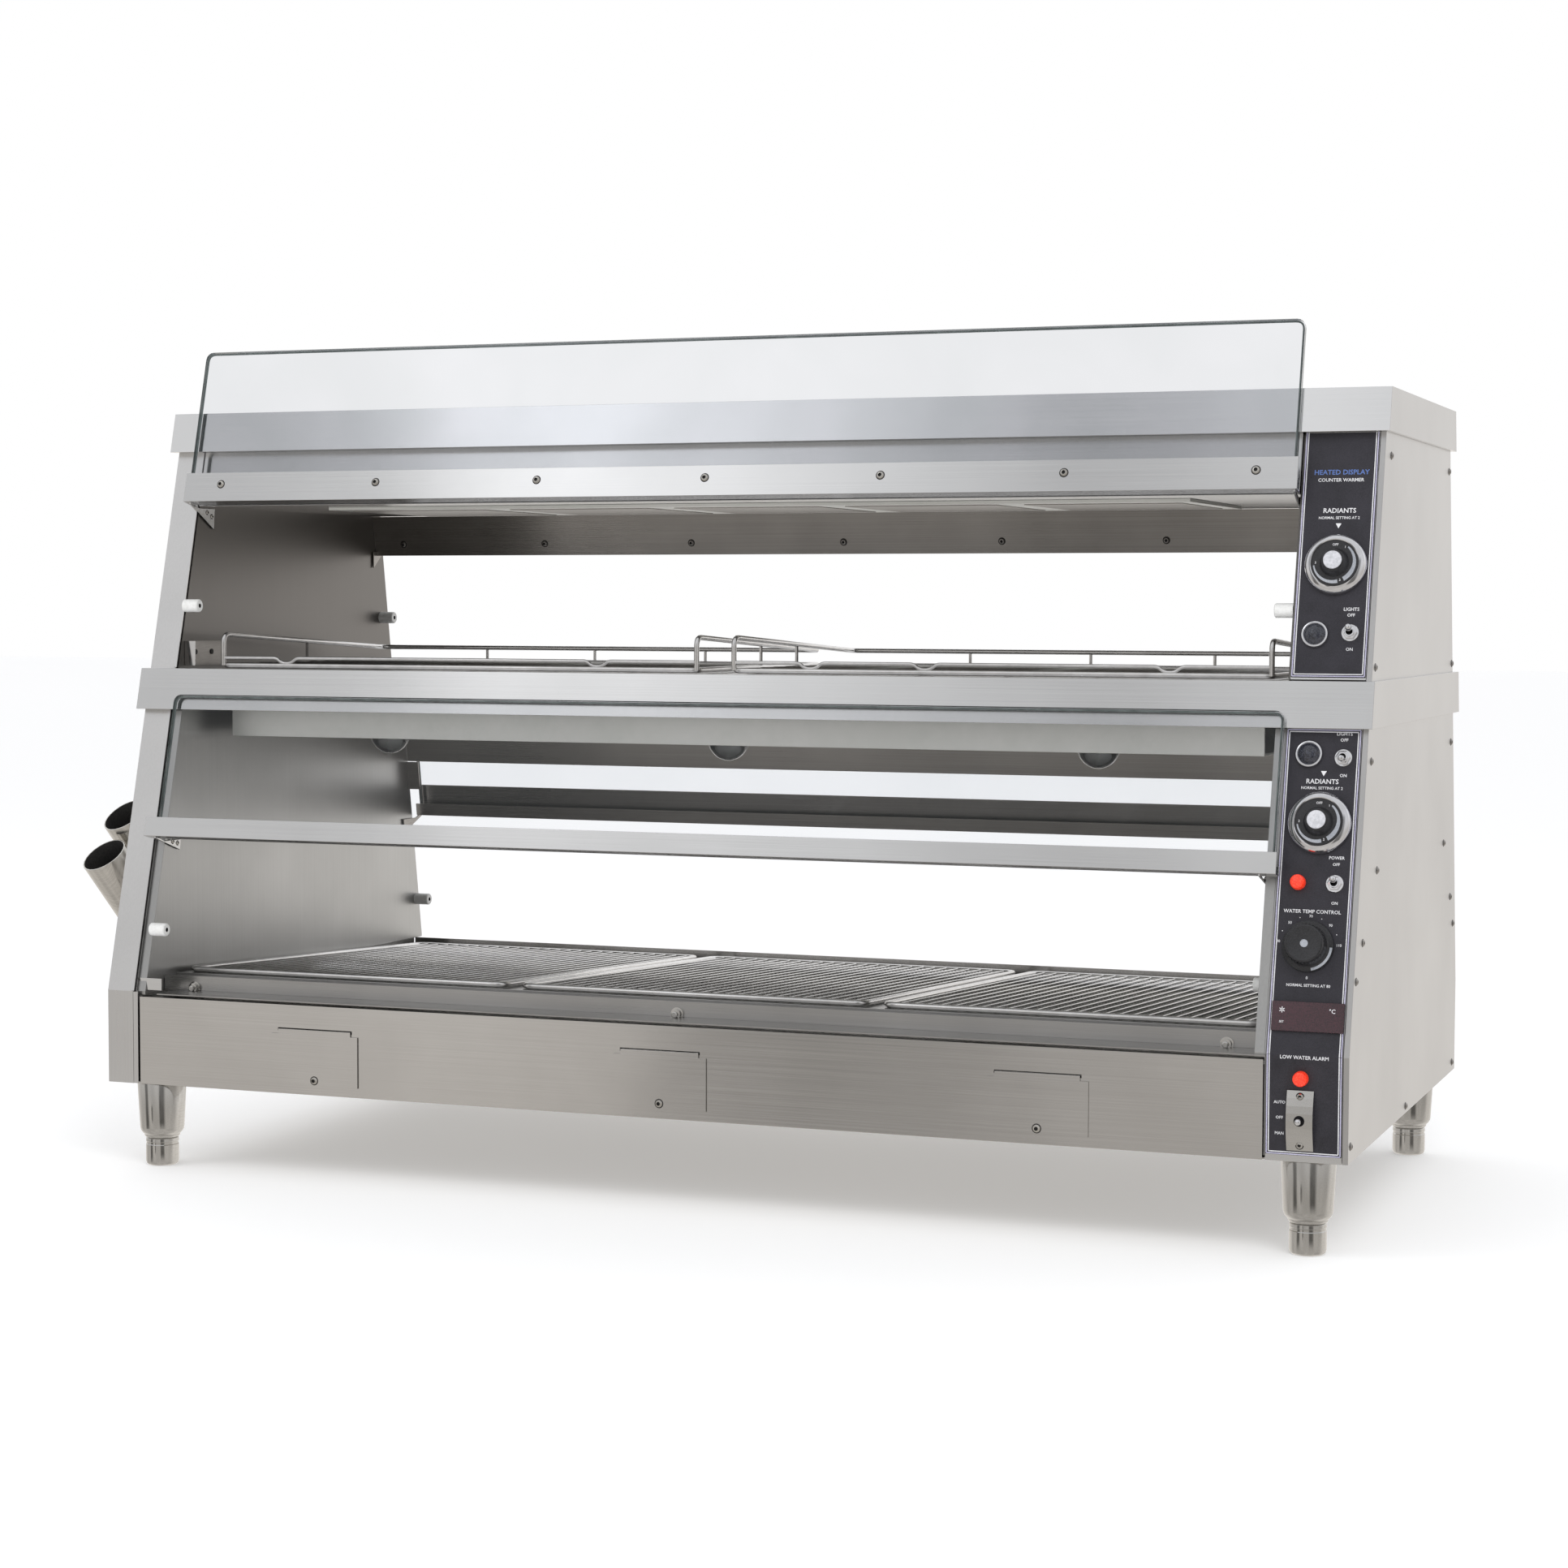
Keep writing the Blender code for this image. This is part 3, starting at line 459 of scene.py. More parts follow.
def dress_nodes():
    """Gives each CAD node that stays its material, and rounds its folded edges a little."""
    for name, look in NODE_LOOKS.items():
        obj = NODES[name]
        obj.data.materials.clear()
        obj.data.materials.append(look)
        if name in PANES:
            obj.data.materials.append(GLASS_EDGE)
            normal = Vector(PANES[name])
            for face in obj.data.polygons:
                face.material_index = 0 if abs(face.normal.dot(normal)) > 0.9 else 1
            continue
        for face in obj.data.polygons:
            face.use_smooth = name in TUBE_MOUTHS
            face.material_index = 0
        if name in SIDE_FACED:
            obj.data.materials.append(SIDE)
            for face in obj.data.polygons:
                face.material_index = 1 if face.normal.x > 0.9 else 0
        if name in TUBE_MOUTHS:
            darken_bore(obj, at(*TUBE_MOUTHS[name]))
        weld = obj.modifiers.new("weld", "WELD")
        weld.merge_threshold = 0.00001
        rounding = obj.modifiers.new("edges", "BEVEL")
        rounding.width = EDGE_ROUND
        rounding.segments = 2
        rounding.limit_method = "ANGLE"
        rounding.angle_limit = radians(30)
        rounding.harden_normals = True


# Mesh helpers

def piece(name, bm, looks, body="cabinet", sharp=32):
    """Turns a bmesh in frame metres into a piece that rides on a body."""
    bmesh.ops.recalc_face_normals(bm, faces=bm.faces)
    mesh = bpy.data.meshes.new(name)
    for face in bm.faces:
        face.smooth = True
    bm.to_mesh(mesh)
    bm.free()
    mesh.set_sharp_from_angle(angle=radians(sharp))
    for look in looks:
        mesh.materials.append(look)
    obj = bpy.data.objects.new(name, mesh)
    bpy.context.scene.collection.objects.link(obj)
    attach(obj, body)
    return obj


def lathe(bm, profile, spot, steps=32, slots=None):
    """Turns (radius, height) points about the spot's z axis; slots gives each band's material."""
    rings = []
    for radius, height in profile:
        count = steps if radius else 1
        ring = []
        for k in range(count):
            a = 2 * pi * k / steps
            ring.append(bm.verts.new(spot @ (Vector((radius * cos(a), radius * sin(a), height)) / 1000)))
        rings.append(ring)
    for band, (low, high) in enumerate(zip(rings, rings[1:])):
        for k in range(steps):
            n = k + 1
            corners = [low[k % len(low)], low[n % len(low)], high[n % len(high)], high[k % len(high)]]
            corners = list(dict.fromkeys(corners))
            if len(corners) > 2:
                bm.faces.new(corners).material_index = slots[band] if slots else 0


def block(bm, size, spot, slot=0):
    """A box of that size in millimetres about the spot."""
    made = bmesh.ops.create_cube(bm, size=1.0)["verts"]
    bmesh.ops.scale(bm, vec=Vector(size) / 1000, verts=made)
    bmesh.ops.transform(bm, matrix=spot, verts=made)
    for face in {f for v in made for f in v.link_faces}:
        face.material_index = slot


def tube(bm, points, radius, sides=8, slot=0):
    """A round wire through points, in millimetres of the frame, with flat ends."""
    points = [Vector(p) for p in points]
    rings = []
    across = None
    for k, point in enumerate(points):
        ahead = (points[min(k + 1, len(points) - 1)] - points[max(k - 1, 0)]).normalized()
        start = across or (Vector((0, 0, 1)) if abs(ahead.z) < 0.9 else Vector((1, 0, 0)))
        across = (start - ahead * start.dot(ahead)).normalized()
        beside = ahead.cross(across)
        ring = []
        for n in range(sides):
            a = 2 * pi * n / sides
            ring.append(bm.verts.new(at(*(point + (across * cos(a) + beside * sin(a)) * radius))))
        rings.append(ring)
    for low, high in zip(rings, rings[1:]):
        for n in range(sides):
            m = (n + 1) % sides
            bm.faces.new((low[n], low[m], high[m], high[n])).material_index = slot
    bm.faces.new(rings[0][::-1]).material_index = slot
    bm.faces.new(rings[-1]).material_index = slot


def rounded_path(points, radius, steps=5):
    """The polyline with each inner corner turned into an arc."""
    points = [Vector(p) for p in points]
    out = [points[0]]
    for a, b, c in zip(points, points[1:], points[2:]):
        reach = min(radius, (a - b).length / 2, (c - b).length / 2)
        p, q = b + (a - b).normalized() * reach, b + (c - b).normalized() * reach
        for k in range(steps + 1):
            t = k / steps
            out.append(p * (1 - t) ** 2 + b * 2 * t * (1 - t) + q * t * t)
    return out + [points[-1]]


def closed_wire(bm, corners, radius, bend, sides=10, slot=0):
    """A closed loop of wire with rounded corners."""
    corners = [Vector(c) for c in corners]
    start = (corners[0] + corners[1]) / 2
    path = rounded_path([start] + corners[1:] + [corners[0], start], bend)
    tube(bm, path, radius, sides, slot)


# Fixings

SCREW = [(0, 0.6), (1.9, 0.6), (2.1, 2.4), (3.0, 2.3), (3.9, 1.5), (4.3, 0.4), (5.0, 0.3), (5.2, 0.0)]
# Slot 1 is painted shadow: the socket and a dark ring round the foot of the head.
SCREW_SLOTS = [1, 1, 0, 0, 0, 1, 1]


def screws(name, spots, size=1.0, look=None):
    """Socket screws at those matrices, as one piece."""
    bm = bmesh.new()
    profile = [(r * size, h * size) for r, h in SCREW]
    for spot in spots:
        lathe(bm, profile, spot, 18, SCREW_SLOTS)
    return piece(name, bm, [look or TUBE_STEEL, SHADOW])


SIDE_SCREWS = [
    (194, 816), (585, 816), (116, 596), (626, 592), (100, 500), (629, 499), (142, 385), (585, 382),
    (641, 314), (664, 280), (65, 317), (31, 281), (12, 117), (342, 108), (674, 111),
]


def fixings():
    rail_x = [-646.0 + 207.0 * k for k in range(7)]
    front_out = (0.0, -cos(ALPHA), sin(ALPHA))
    rear_out = (0.0, cos(BETA), sin(BETA))
    screws("rail_screws_front", [facing(front_point(x, 794.0, 24.0), front_out) for x in rail_x])
    inner = [facing(rear_point(x, 742.0, -24.0), (0.0, -cos(BETA), -sin(BETA))) for x in rail_x]
    screws("rail_screws_rear_inside", inner, 0.9, DARK_STEEL)
    outer = [facing(rear_point(x, 733.0, -8.0), rear_out) for x in rail_x]
    screws("rail_screws_rear", outer, 0.7)
    outer = [facing(rear_point(x, 388.0, 24.0), rear_out) for x in rail_x[1:]]
    screws("rail_screws_rear_lower", outer)
    for side, way in (("right", 1), ("left", -1)):
        spots = [facing(at(way * HALF, y, z), (way, 0, 0)) for y, z in SIDE_SCREWS]
        screws("side_screws_" + side, spots, 0.85, DARK_STEEL)
    covers = []
    for k in (1, 2, 3):
        low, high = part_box(f"access_cover_{k}")
        spot = Vector(((low.x + high.x) / 2, low.y, low.z + 0.006))
        covers.append(facing(spot, (0, -1, 0)))
    screws("cover_screws", covers)
    guard_x, guard_y = at(677.0, 0, 0).x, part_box("toggle_guard")[0].y + 0.0045
    spots = [facing(Vector((guard_x, guard_y, z / 1000)), (0, -1, 0)) for z in (118.0, 167.0)]
    screws("guard_screws", spots, 0.85)


make_camera()
make_world()
make_stage()
dress_nodes()
fixings()


# Pegs

PEG = [(0, 7.0), (2.2, 7.0), (2.6, 20.0), (6.6, 20.0), (7.6, 19.0), (7.6, 0.0)]
PEG_SLOTS = [1, 1, 0, 0, 0]


def pegs():
    """Nylon pegs on the liners, each with a sunk screw whose hole is painted shade."""
    bm = bmesh.new()
    spots = [(LEFT_LINER, 117.0, 656.0, 1), (LEFT_LINER, 602.0, 641.0, 1), (LOW_LEFT, 20.0, 279.0, 1)]
    spots += [(LOW_LEFT, 676.0, 257.0, 1), (RIGHT_LINER, 126.0, 654.0, -1), (RIGHT_LINER, 614.0, 641.0, -1)]
    spots += [(LOW_RIGHT, 92.0, 266.0, -1), (LOW_RIGHT, 676.0, 254.0, -1)]
    for x, y, z, way in spots:
        lathe(bm, PEG, facing(at(x, y, z), (way, 0, 0)), 24, PEG_SLOTS)
    piece("liner_pegs", bm, [NYLON, SHADOW])


# Shelves

def grid_point(mid, u, v, w):
    """A point of a grid in its own plane: u across, v back from its front edge, w up."""
    y0, z0 = 72.0, 222.0
    lift_up = 3.3 + w
    run = 8.0 + v
    return (mid + u, y0 + run * cos(FALL) + lift_up * sin(FALL), z0 - run * sin(FALL) + lift_up * cos(FALL))


def grid(k):
    """A footed wire grid: a thick rounded border round a close mesh."""
    mid = LOW_LEFT + 435.0 * (k - 0.5)
    bm = bmesh.new()
    half, long = 206.0, 584.0
    corners = [(-half, 3.0), (half, 3.0), (half, long - 3.0), (-half, long - 3.0)]
    closed_wire(bm, [grid_point(mid, u, v, 1.6) for u, v in corners], 3.4, 16.0)
    rows = 44
    for row in range(1, rows):
        v = 3.0 + (long - 6.0) * row / rows
        tube(bm, [grid_point(mid, -half, v, 0.2), grid_point(mid, half, v, 0.2)], 1.5, 6)
    columns = 27
    for column in range(1, columns):
        u = -half + 2 * half * column / columns
        ends = [grid_point(mid, u, 3.0, 2.6), grid_point(mid, u, long - 3.0, 2.6)]
        tube(bm, ends, 1.3, 6)
    made = piece(f"mesh_grid_{k}", bm, [WIRE], f"wire_grid_{k}", 50)
    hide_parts(f"wire_grid_{k}")


RACK_Z = 582.5


def rack(k):
    """A wire rack: floor wires in a frame, a dipped front wire and a raised rail on three sides."""
    corner, far = ((v - ORIGIN) * 1000 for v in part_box(f"wire_rack_{k}"))
    x0, x1, y0, y1 = corner.x, far.x, corner.y, far.y
    thick, thin = 3.0, 2.0
    low = RACK_Z + thick
    bm = bmesh.new()
    x0, x1, y0, y1 = x0 + thick, x1 - thick, y0 + thick, y1 - thick
    closed_wire(bm, [(x0, y0, low), (x1, y0, low), (x1, y1, low), (x0, y1, low)], thick, 10.0)
    top_front, top_rear = RACK_Z + 40.0, RACK_Z + 20.5
    rail = [(x0, y0, low), (x0, y0, top_front), (x0, y1, top_rear), (x1, y1, top_rear)]
    rail += [(x1, y0, top_front), (x1, y0, low)]
    tube(bm, rounded_path(rail, 12.0, 6), thick, 10)
    front_z = low + 9.0
    dips = [0.14, 0.80] if k == 1 else [0.15, 0.37, 0.82]
    path = [(x0, y0, front_z)]
    for share in dips:
        mid = x0 + (x1 - x0) * share
        path += [(mid - 13.0, y0, front_z), (mid - 6.0, y0, low + 3.0), (mid + 6.0, y0, low + 3.0)]
        path.append((mid + 13.0, y0, front_z))
    tube(bm, rounded_path(path + [(x1, y0, front_z)], 5.0, 4), thin, 8)
    for row in range(9):
        y = y0 + (y1 - y0) * (row + 1) / 10
        tube(bm, [(x0, y, low + 0.6), (x1, y, low + 0.6)], thin, 6)
    for column in range(1, 6):
        x = x0 + (x1 - x0) * column / 6
        tube(bm, [(x, y0, low - 0.8), (x, y1, low - 0.8)], thin, 6)
    for column in (1, 2, 3):
        x = x0 + (x1 - x0) * column / 4
        tube(bm, [(x, y1, low), (x, y1, top_rear)], thin, 6)
    for x in (x0, x1):
        y = y0 + (y1 - y0) * 0.5
        tube(bm, [(x, y, low), (x, y, (top_front + top_rear) / 2)], thin, 6)
    made = piece(f"round_wire_rack_{k}", bm, [WIRE], f"wire_rack_{k}", 50)
    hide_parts(f"wire_rack_{k}")


# Legs

SLEEVE = [
    (0, 99.6), (28.0, 99.6), (28.4, 98.8), (25.6, 45.0), (25.0, 41.5), (23.2, 38.5), (21.0, 36.5),
    (20.4, 34.0), (19.4, 33.0), (14.5, 33.0), (14.5, 60.0),
]
FOOT = [
    (12.0, 60.0), (12.0, 32.5), (18.2, 32.4), (19.0, 31.4), (19.2, 28.0), (18.6, 27.2), (18.6, 24.8),
    (19.2, 24.0), (19.2, 5.0), (18.4, 1.8), (16.4, 0.0), (0, 0.0),
]


def legs():
    for end in ("front_left", "front_right", "rear_left", "rear_right"):
        low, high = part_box("leg_sleeve_" + end)
        centre = Vector(((low.x + high.x) / 2, (low.y + high.y) / 2, 0.0))
        bm = bmesh.new()
        lathe(bm, SLEEVE, Matrix.Translation(centre), 64)
        made = piece("tapered_sleeve_" + end, bm, [POLISHED])
        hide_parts("leg_sleeve_" + end)
        bm = bmesh.new()
        lathe(bm, FOOT, Matrix.Translation(centre), 64)
        made = piece("threaded_foot_" + end, bm, [POLISHED], "leg_foot_" + end)
        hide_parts("leg_foot_" + end)


# Lamps

def globe_profile():
    """A globe on a neck, as (radius, height) from the crown down to the base."""
    points = [(0.0, -63.0)]
    for k in range(1, 15):
        a = pi * k / 17
        points.append((24.0 * sin(a), -38.0 - 25.0 * cos(a)))
    return points + [(13.0, -11.0), (12.6, -5.0)]


LAMP_HOLDER = [
    (0, -4.9), (12.8, -5.0), (13.2, 0.0), (12.6, 2.0), (13.2, 4.0), (12.6, 6.0), (13.4, 8.0),
    (13.4, 29.0), (0, 29.0),
]


def lamps():
    for k in (1, 2, 3):
        low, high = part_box(f"lamp_{k}")
        top = Vector(((low.x + high.x) / 2, (low.y + high.y) / 2, high.z - 0.0295))
        bm = bmesh.new()
        lathe(bm, globe_profile(), Matrix.Translation(top), 40)
        lathe(bm, LAMP_HOLDER, Matrix.Translation(top), 32, [1] * (len(LAMP_HOLDER) - 1))
        lathe(bm, [(0, -26.0), (1.6, -26.0), (3.4, -14.0), (4.4, -5.0)], Matrix.Translation(top), 12, [2] * 3)
        made = piece(f"globe_lamp_{k}", bm, [BULB, CHROME, NYLON])
        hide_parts(f"lamp_{k}")


# Controls

def arc_band(bm, spot, start, end, r_in, r_out, height, slot, steps=24):
    """A flat band on the spot's plane between two clock angles; each radius is (at start, at end)."""
    rows = []
    for k in range(steps + 1):
        t = k / steps
        a = radians(90 - (start + (end - start) * t))
        inner = r_in[0] + (r_in[1] - r_in[0]) * t
        outer = r_out[0] + (r_out[1] - r_out[0]) * t
        places = [Vector((r * cos(a), r * sin(a), height)) / 1000 for r in (inner, outer)]
        rows.append([bm.verts.new(spot @ place) for place in places])
    for low, high in zip(rows, rows[1:]):
        bm.faces.new((low[0], low[1], high[1], high[0])).material_index = slot


def flat_text(bm, words, size, spot, slot=0, thick=0.06):
    """Adds letters, centred on the spot and lying on its plane."""
    curve = bpy.data.curves.new("words", "FONT")
    curve.body = words
    curve.size = size / 1000
    curve.align_x = "CENTER"
    curve.align_y = "CENTER"
    curve.resolution_u = 2
    curve.extrude = thick / 1000
    curve.offset = size / 1000 * 0.012
    source = bpy.data.objects.new("words", curve)
    bpy.context.scene.collection.objects.link(source)
    bpy.context.view_layer.update()
    graph = bpy.context.evaluated_depsgraph_get()
    mesh = bpy.data.meshes.new_from_object(source.evaluated_get(graph))
    bpy.data.objects.remove(source, do_unlink=True)
    mesh.transform(spot)
    first = len(bm.faces)
    bm.from_mesh(mesh)
    bm.faces.ensure_lookup_table()
    for face in bm.faces[first:]:
        face.material_index = slot
    bpy.data.meshes.remove(mesh)


DIAL = [
    (0, 21.2), (8.6, 21.2), (9.4, 20.6), (9.6, 19.6), (10.2, 19.4), (11.6, 18.6), (12.6, 16.0), (13.8, 10.0),
    (15.2, 8.2), (22.8, 7.6), (24.2, 7.6), (24.4, 8.8), (25.4, 9.3), (28.6, 8.2), (31.4, 5.2),
    (32.6, 1.8), (32.6, 0.1),
]
DIAL_SLOTS = [2, 2, 2, 1, 1, 1, 1, 1, 1, 1, 0, 0, 0, 0, 0, 0]


def dial(name, x, z):
    """A black dial in a chrome rim, with a pale cap and a scale that swells clockwise."""
    bm = bmesh.new()
    spot = on_face(x, z, FACE_OFF + 0.3)
    lathe(bm, DIAL, spot, 72, DIAL_SLOTS)
    arc_band(bm, spot, 38, 150, (20.6, 16.8), (22.3, 22.3), 8.0, 3)
    arc_band(bm, spot, 168, 262, (18.2, 20.8), (22.0, 22.2), 8.0, 3)
    flat_text(bm, "OFF", 3.6, spot @ Matrix.Translation((0.0, 0.0192, 0.0081)), 4)
    ring = [("1", 32), ("2", 160), ("3", 270)]
    for words, clock in ring:
        a = radians(90 - clock)
        where = Matrix.Translation((0.0196 * cos(a), 0.0196 * sin(a), 0.0081))
        flat_text(bm, words, 3.4, spot @ where, 4)
    looks = [CHROME, BLACK_KNOB, CAP_WHITE, SCALE_INK, INK]
    made = piece(name.replace("radiant_dial", "rimmed_dial"), bm, looks, name)
    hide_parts(name)


KNOB = [
    (0, 21.6), (3.6, 21.6), (4.0, 22.2), (9.0, 22.4), (14.0, 23.0), (17.6, 23.8), (19.0, 23.2), (19.6, 21.8),
    (20.2, 14.0), (20.6, 6.4), (21.6, 5.0), (26.0, 3.6), (26.4, 2.6), (26.4, 0.1),
]


def thermostat(name, x, z):
    bm = bmesh.new()
    spot = on_face(x, z, FACE_OFF + 0.3)
    lathe(bm, KNOB, spot, 72, [1, 1] + [0] * 11)
    arc_band(bm, spot, 92, 168, (22.6, 22.0), (25.4, 25.6), 4.6, 1)
    for k in range(36):
        turn = Matrix.Rotation(2 * pi * k / 36, 4, "Z")
        block(bm, (0.8, 1.2, 13.0), spot @ turn @ Matrix.Translation((0.0, 0.0200, 0.0145)))
    made = piece("skirted_knob", bm, [BLACK_KNOB, SCALE_INK], name)
    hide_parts(name)


LEVER = [
    (0, 17.0), (1.6, 16.8), (2.7, 16.0), (3.2, 14.8), (3.15, 12.6), (2.9, 9.0), (2.5, 4.0),
    (2.2, 1.4), (0, 0.8),
]


def toggle(name, x, z, tip):
    """The bat lever moves; its threaded bushing, hexagon nut and washer stay on the cabinet."""
    base = on_face(x, z, FACE_OFF + 0.3)
    bm = bmesh.new()
    lathe(bm, LEVER, base @ Matrix.Rotation(-tip, 4, "X"), 28)
    made = piece(name.replace("toggle_lever", "bat_lever"), bm, [CHROME], name)
    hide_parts(name)
    if name.endswith("fill"):
        return
    bm = bmesh.new()
    still = on_face(x, z)
    lathe(bm, [(3.6, 6.4), (4.6, 6.4), (5.0, 6.0), (5.0, 3.0)], still, 28)
    lathe(bm, [(5.0, 4.2), (6.6, 4.2), (7.6, 3.6), (7.6, 1.2), (5.0, 1.2)], still, 6)
    lathe(bm, [(5.0, 1.3), (8.6, 1.3), (9.0, 0.9), (9.0, 0.05)], still, 32)
    # Painted shade: the bottom of the bushing's bore takes the dark recess material.
    lathe(bm, [(0, 0.4), (3.6, 0.4), (3.6, 6.4)], still, 20, [1, 0])
    piece(name.replace("toggle_lever", "toggle_nut"), bm, [CHROME, SHADOW])


def jewel(name, profile, slots, looks, x, z, new_name):
    bm = bmesh.new()
    lathe(bm, profile, on_face(x, z, FACE_OFF + 0.3), 48, slots)
    made = piece(new_name, bm, looks)
    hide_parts(name)


PILOT = [
    (0, 8.9), (2.2, 8.7), (4.4, 8.2), (6.6, 7.2), (8.6, 5.9), (10.2, 4.2), (11.4, 2.4), (11.8, 2.2),
    (12.2, 3.2),
    (13.4, 3.0), (14.2, 1.6), (14.2, 0.1),
]
SIGNAL = [(0, 8.8), (5.2, 8.6), (6.8, 7.8), (7.6, 6.0), (7.8, 0.1)]


FACE_X = (641.6, 718.2)


def border(bm, x0, x1, z0, z1, inset, width, slot=0):
    """Thin raised lines round a face, inset from its edges; the cap hides the upper face's top line."""
    x0, x1, z0 = x0 + inset, x1 - inset, z0 + inset
    z1 -= inset if z1 < 600.0 else 0.0
    for z in (z0, z1)[: 2 if z1 < 600.0 else 1]:
        block(bm, (x1 - x0, width, 0.12), on_face((x0 + x1) / 2, z), slot)
    levels = [z0, z1] if z0 >= BEND_Z else [z0, BEND_Z, z1]
    for low, high in zip(levels, levels[1:]):
        mid = (low + high) / 2
        tall = (high - low) / (cos(ALPHA) if mid > BEND_Z else 1.0)
        for x in (x0, x1):
            block(bm, (width, tall, 0.12), on_face(x, mid), slot)


def pointer(bm, x, z):
    """A small triangle that points down to a dial."""
    spot = on_face(x, z, FACE_OFF + 0.06)
    corners = [(-3.0, 2.4, 0.0), (3.0, 2.4, 0.0), (0.0, -3.0, 0.0)]
    bm.faces.new([bm.verts.new(spot @ (Vector(c) / 1000)) for c in corners])


LEGENDS_UPPER = [
    ("COUNTER WARMER", 681.0, 789.0, 5.2),
    ("RADIANTS", 681.5, 757.0, 7.2),
    ("NORMAL SETTING AT 2", 681.5, 749.6, 4.0),
    ("LIGHTS", 700.0, 655.0, 5.0),
    ("OFF", 700.0, 649.0, 4.6),
    ("ON", 700.3, 614.0, 4.6),
]
LEGENDS_LOWER = [
    ("LIGHTS", 701.0, 528.0, 5.0),
    ("OFF", 701.0, 521.8, 4.6),
    ("ON", 702.0, 486.0, 4.6),
    ("RADIANTS", 681.0, 479.6, 7.0),
    ("NORMAL SETTING AT 2", 681.0, 473.0, 4.0),
    ("POWER", 700.5, 403.5, 4.6),
    ("OFF", 700.5, 397.0, 4.2),
    ("ON", 701.0, 358.5, 4.2),
    ("WATER TEMP CONTROL", 679.0, 349.5, 5.2),
    ("NORMAL SETTING AT 80", 679.5, 276.5, 4.0),
    ("LOW WATER ALARM", 680.0, 206.0, 5.2),
    ("AUTO", 655.6, 160.0, 4.2),
    ("OFF", 655.6, 144.5, 4.2),
    ("MAN", 655.6, 128.5, 4.2),
]


def printing():
    """Borders, pointers and plain words on the black faces."""
    off = FACE_OFF + 0.02
    bm = bmesh.new()
    for words, x, z, size in LEGENDS_UPPER + LEGENDS_LOWER:
        flat_text(bm, words, size, on_face(x, z, off))
    pointer(bm, 681.3, 741.6)
    pointer(bm, 682.0, 488.0)
    for k in range(9):
        clock = radians(90 + 82 - k * 21)
        x = 677.0 + 31.0 * cos(clock)
        z = 315.0 + 30.0 * sin(clock)
        if k % 2:
            block(bm, (0.9, 0.9, 0.12), on_face(x, z))
        else:
            flat_text(bm, str(30 + k * 10), 3.8, on_face(x, z, off))
    flat_text(bm, "0", 4.2, on_face(677.5, 284.0, off))
    piece("face_legends", bm, [INK])
    bm = bmesh.new()
    flat_text(bm, "HEATED DISPLAY", 7.4, on_face(681.3, 797.0, off))
    piece("face_title", bm, [BLUE_INK])
    bm = bmesh.new()
    for z0, z1 in ((585.5, 839.0), (107.0, 532.8)):
        border(bm, *FACE_X, z0, z1, 1.0, 1.1)
        border(bm, *FACE_X, z0, z1, 3.0, 1.0, 1)
    piece("face_borders", bm, [LILAC_INK, INK])


def display_details():
    """Small marks on the temperature display."""
    bm = bmesh.new()
    spot = on_face(681.5, 246.0, FACE_OFF + 0.3 + 3.02)
    for k in range(6):
        ray = Matrix.Rotation(pi * k / 3, 4, "Z") @ Matrix.Translation((0.0, 0.0018, 0.0))
        block(bm, (0.8, 2.4, 0.1), spot @ Matrix.Translation((-0.0262, 0.0058, 0.0)) @ ray)
    flat_text(bm, "°C", 6.0, spot @ Matrix.Translation((0.0245, 0.0058, 0.0)))
    flat_text(bm, "SET", 3.0, spot @ Matrix.Translation((-0.0262, -0.0064, 0.0)))
    piece("display_marks", bm, [INK])


def controls():
    dial("radiant_dial_upper", 681.0, 701.0)
    dial("radiant_dial_lower", 681.0, 438.0)
    thermostat("thermostat_knob", 677.0, 315.0)
    tip = radians(12.0)
    toggle("toggle_lever_upper", 700.0, 631.0, tip)
    toggle("toggle_lever_lights", 701.0, 504.0, -tip)
    toggle("toggle_lever_power", 700.0, 378.0, tip)
    toggle("toggle_lever_fill", 677.0, 143.0, 0.0)
    pilot_slots = [0, 0, 0, 0, 0, 0, 1, 1, 1, 1, 1]
    for where, x, z in (("upper", 664.0, 629.0), ("lower", 666.0, 507.0)):
        looks = [DARK_LENS, CHROME]
        jewel(f"pilot_lamp_{where}", PILOT, pilot_slots, looks, x, z, f"domed_pilot_{where}")
    jewel("power_lamp", SIGNAL, None, [RED_LENS], 663.0, 378.0, "red_power_lens")
    jewel("alarm_lamp", SIGNAL, None, [RED_LENS], 677.0, 185.0, "red_alarm_lens")
    printing()
    display_details()


# Sheet-metal details

def pane_edges():
    """Dark ground edges just inside the rim of each pane."""
    bm = bmesh.new()
    for place, x0, x1, z0, z1 in (
        (front_point, -690.0, 635.0, 778.5, 953.0),
        (front_point, -673.0, 639.0, 386.5, 545.0),
        (rear_point, -671.0, 622.0, 374.5, 528.0),
    ):
        corners = [(place(x, z, 16.0) - ORIGIN) * 1000 for x, z in ((x0, z0), (x1, z0), (x1, z1), (x0, z1))]
        closed_wire(bm, corners, 1.1, 9.0, 8)
    piece("pane_edges", bm, [GLASS_EDGE])


def tab_screws():
    """Two small screws on each triangular tab under the front rails' ends."""
    spots = []
    for z, drop, walls in ((774.0, 26.0, (LEFT_LINER, RIGHT_LINER)), (382.0, 14.0, (LOW_LEFT, LOW_RIGHT))):
        for x, way in zip(walls, (1, -1)):
            for share in (0.42, 0.74):
                y = front(z) + 32.0 * share + 3.0
                spots.append(facing(at(x + way * 2.6, y, z - drop * share * 0.55), (way, 0, 0)))
    screws("tab_screws", spots, 0.62)


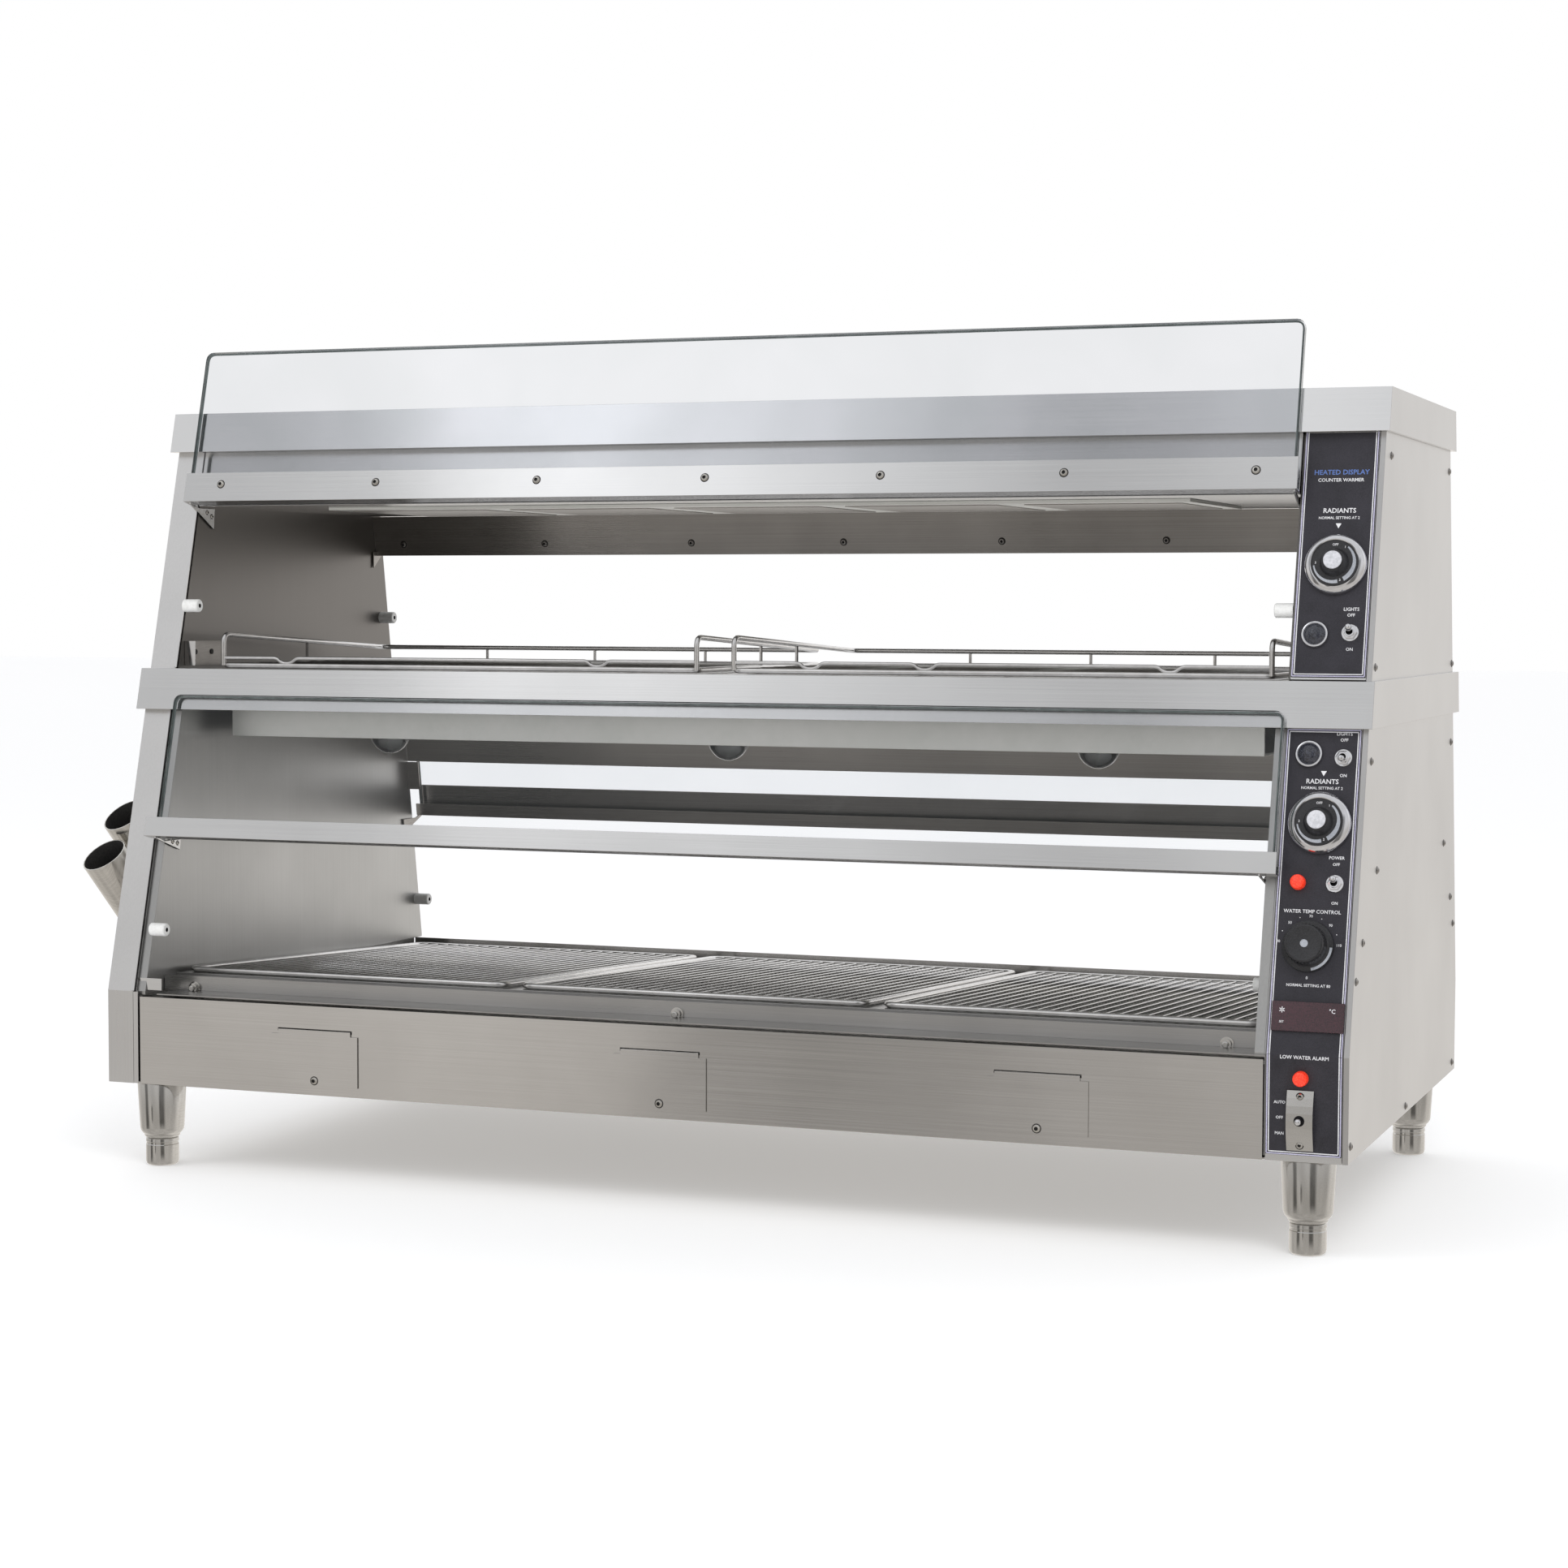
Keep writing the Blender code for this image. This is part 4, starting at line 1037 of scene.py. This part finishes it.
def strip(bm, x0, x1, point, off, z0, z1, thick=1.2, slot=0):
    """A flat strip that follows a slope between two heights."""
    lean = ALPHA if point is front_point else BETA
    mid = (z0 + z1) / 2
    out = (0.0, -cos(lean), sin(lean)) if point is front_point else (0.0, cos(lean), sin(lean))
    block(bm, (abs(x1 - x0), (z1 - z0) / cos(lean), thick), facing(point((x0 + x1) / 2, mid, off), out), slot)


HEATER_Y = (223.0, 480.0)
HEATER_X = (-554.0, 504.0)


STANDOFF = [
    (0, 10.0), (2.4, 10.0), (3.4, 9.2), (3.4, 6.2), (5.6, 6.0), (5.6, 1.4), (7.4, 1.2), (7.4, 0.0),
]
SEAM_X = (-693.5, -688.9)
# The heights of the lower and the upper tier's slopes, between the apron, the trim and the cap.
LEFT_SEAMS = ((208.5, 533.0), (583.0, 839.0))
COLUMN_BACKS = ((209.0, 533.0), (583.0, 839.0))
COLUMN_X = (641.5, 718.0)
BRACKET_Z = 599.5
BRACKET_TALL = 29.0


def level(bm, size, spot, slot=0):
    """A box of that size in millimetres, square to the cabinet, about a place."""
    block(bm, size, Matrix.Translation(at(*spot)), slot)


def standoffs():
    bm = bmesh.new()
    for x in (-635.0, -22.0, 591.0):
        lathe(bm, STANDOFF, facing(at(x, 44.6, 209.5), (0, -1, 0)), 18)
    piece("deck_standoffs", bm, [POLISHED])


def left_corner():
    """The filler beside the deck, low enough for a grid to slide over, and the left side's seams."""
    bm = bmesh.new()
    level(bm, (32.0, 1.2, 13.6), (-673.0, 8.0, 216.2))
    piece("left_filler_plate", bm, [BRUSHED])
    bm = bmesh.new()
    for z0, z1 in LEFT_SEAMS:
        strip(bm, *SEAM_X, front_point, 0.8, z0, z1)
    level(bm, (6.0, 0.8, 107.0), (-687.0, -0.5, 154.0))
    piece("left_seam_strips", bm, [POST_STEEL])


def deck_lip():
    """The apron's top flange and the upright face of the deck's lip."""
    bm = bmesh.new()
    level(bm, (1300.0, 42.0, 1.2), (-10.0, 23.0, 205.6))
    level(bm, (1304.0, 1.0, 18.5), (-24.0, 45.2, 214.0))
    piece("deck_lip_face", bm, [LIP])


def rear_sheets():
    """Holders of the lower rear glass, and the sheets that close the control column."""
    bm = bmesh.new()
    for x0, x1 in ((LOW_LEFT + 0.2, LOW_LEFT + 18.0), (LOW_RIGHT - 18.0, LOW_RIGHT - 0.2)):
        strip(bm, x0, x1, rear_point, -9.0, 410.0, 447.0, 1.6)
    piece("rear_glass_holders", bm, [DARK_STEEL])
    bm = bmesh.new()
    for z0, z1 in COLUMN_BACKS:
        strip(bm, *COLUMN_X, rear_point, -2.0, z0, z1)
    piece("column_rear_covers", bm, [SIDE])


def reflector():
    """The radiant heater's tray under the upper housing, with five dark elements."""
    bm = bmesh.new()
    x0, x1 = HEATER_X
    y0, y1 = HEATER_Y
    level(bm, (x1 - x0, y1 - y0, 3.4), ((x0 + x1) / 2, (y0 + y1) / 2, 773.0))
    for k in range(5):
        x = x0 + (x1 - x0) * (k + 0.5) / 5
        level(bm, (180.0, y1 - y0 - 60.0, 1.2), (x, (y0 + y1) / 2, 771.0), 1)
    piece("radiant_reflector", bm, [CEILING, DARK_STEEL])


def rack_stop():
    """A plate with two holes, painted as dark discs of shade, and a bright flange, on the left wall."""
    bm = bmesh.new()
    level(bm, (1.4, 80.0, BRACKET_TALL), (LEFT_LINER + 1.0, 155.0, BRACKET_Z))
    level(bm, (14.0, 1.4, BRACKET_TALL), (LEFT_LINER + 7.4, 114.8, BRACKET_Z), 1)
    for y in (136.0, 172.0):
        spot = facing(at(LEFT_LINER + 1.8, y, BRACKET_Z + 1.5), (1, 0, 0))
        lathe(bm, [(0, 0.9), (3.2, 0.9), (3.2, 0.0)], spot, 16, [2, 2])
    piece("rack_stop_bracket", bm, [DARK_STEEL, BRUSHED, SHADOW])



pegs()
for number in (1, 2, 3):
    grid(number)
for number in (1, 2):
    rack(number)
legs()
lamps()
controls()
standoffs()
left_corner()
deck_lip()
rear_sheets()
reflector()
rack_stop()
tab_screws()
pane_edges()
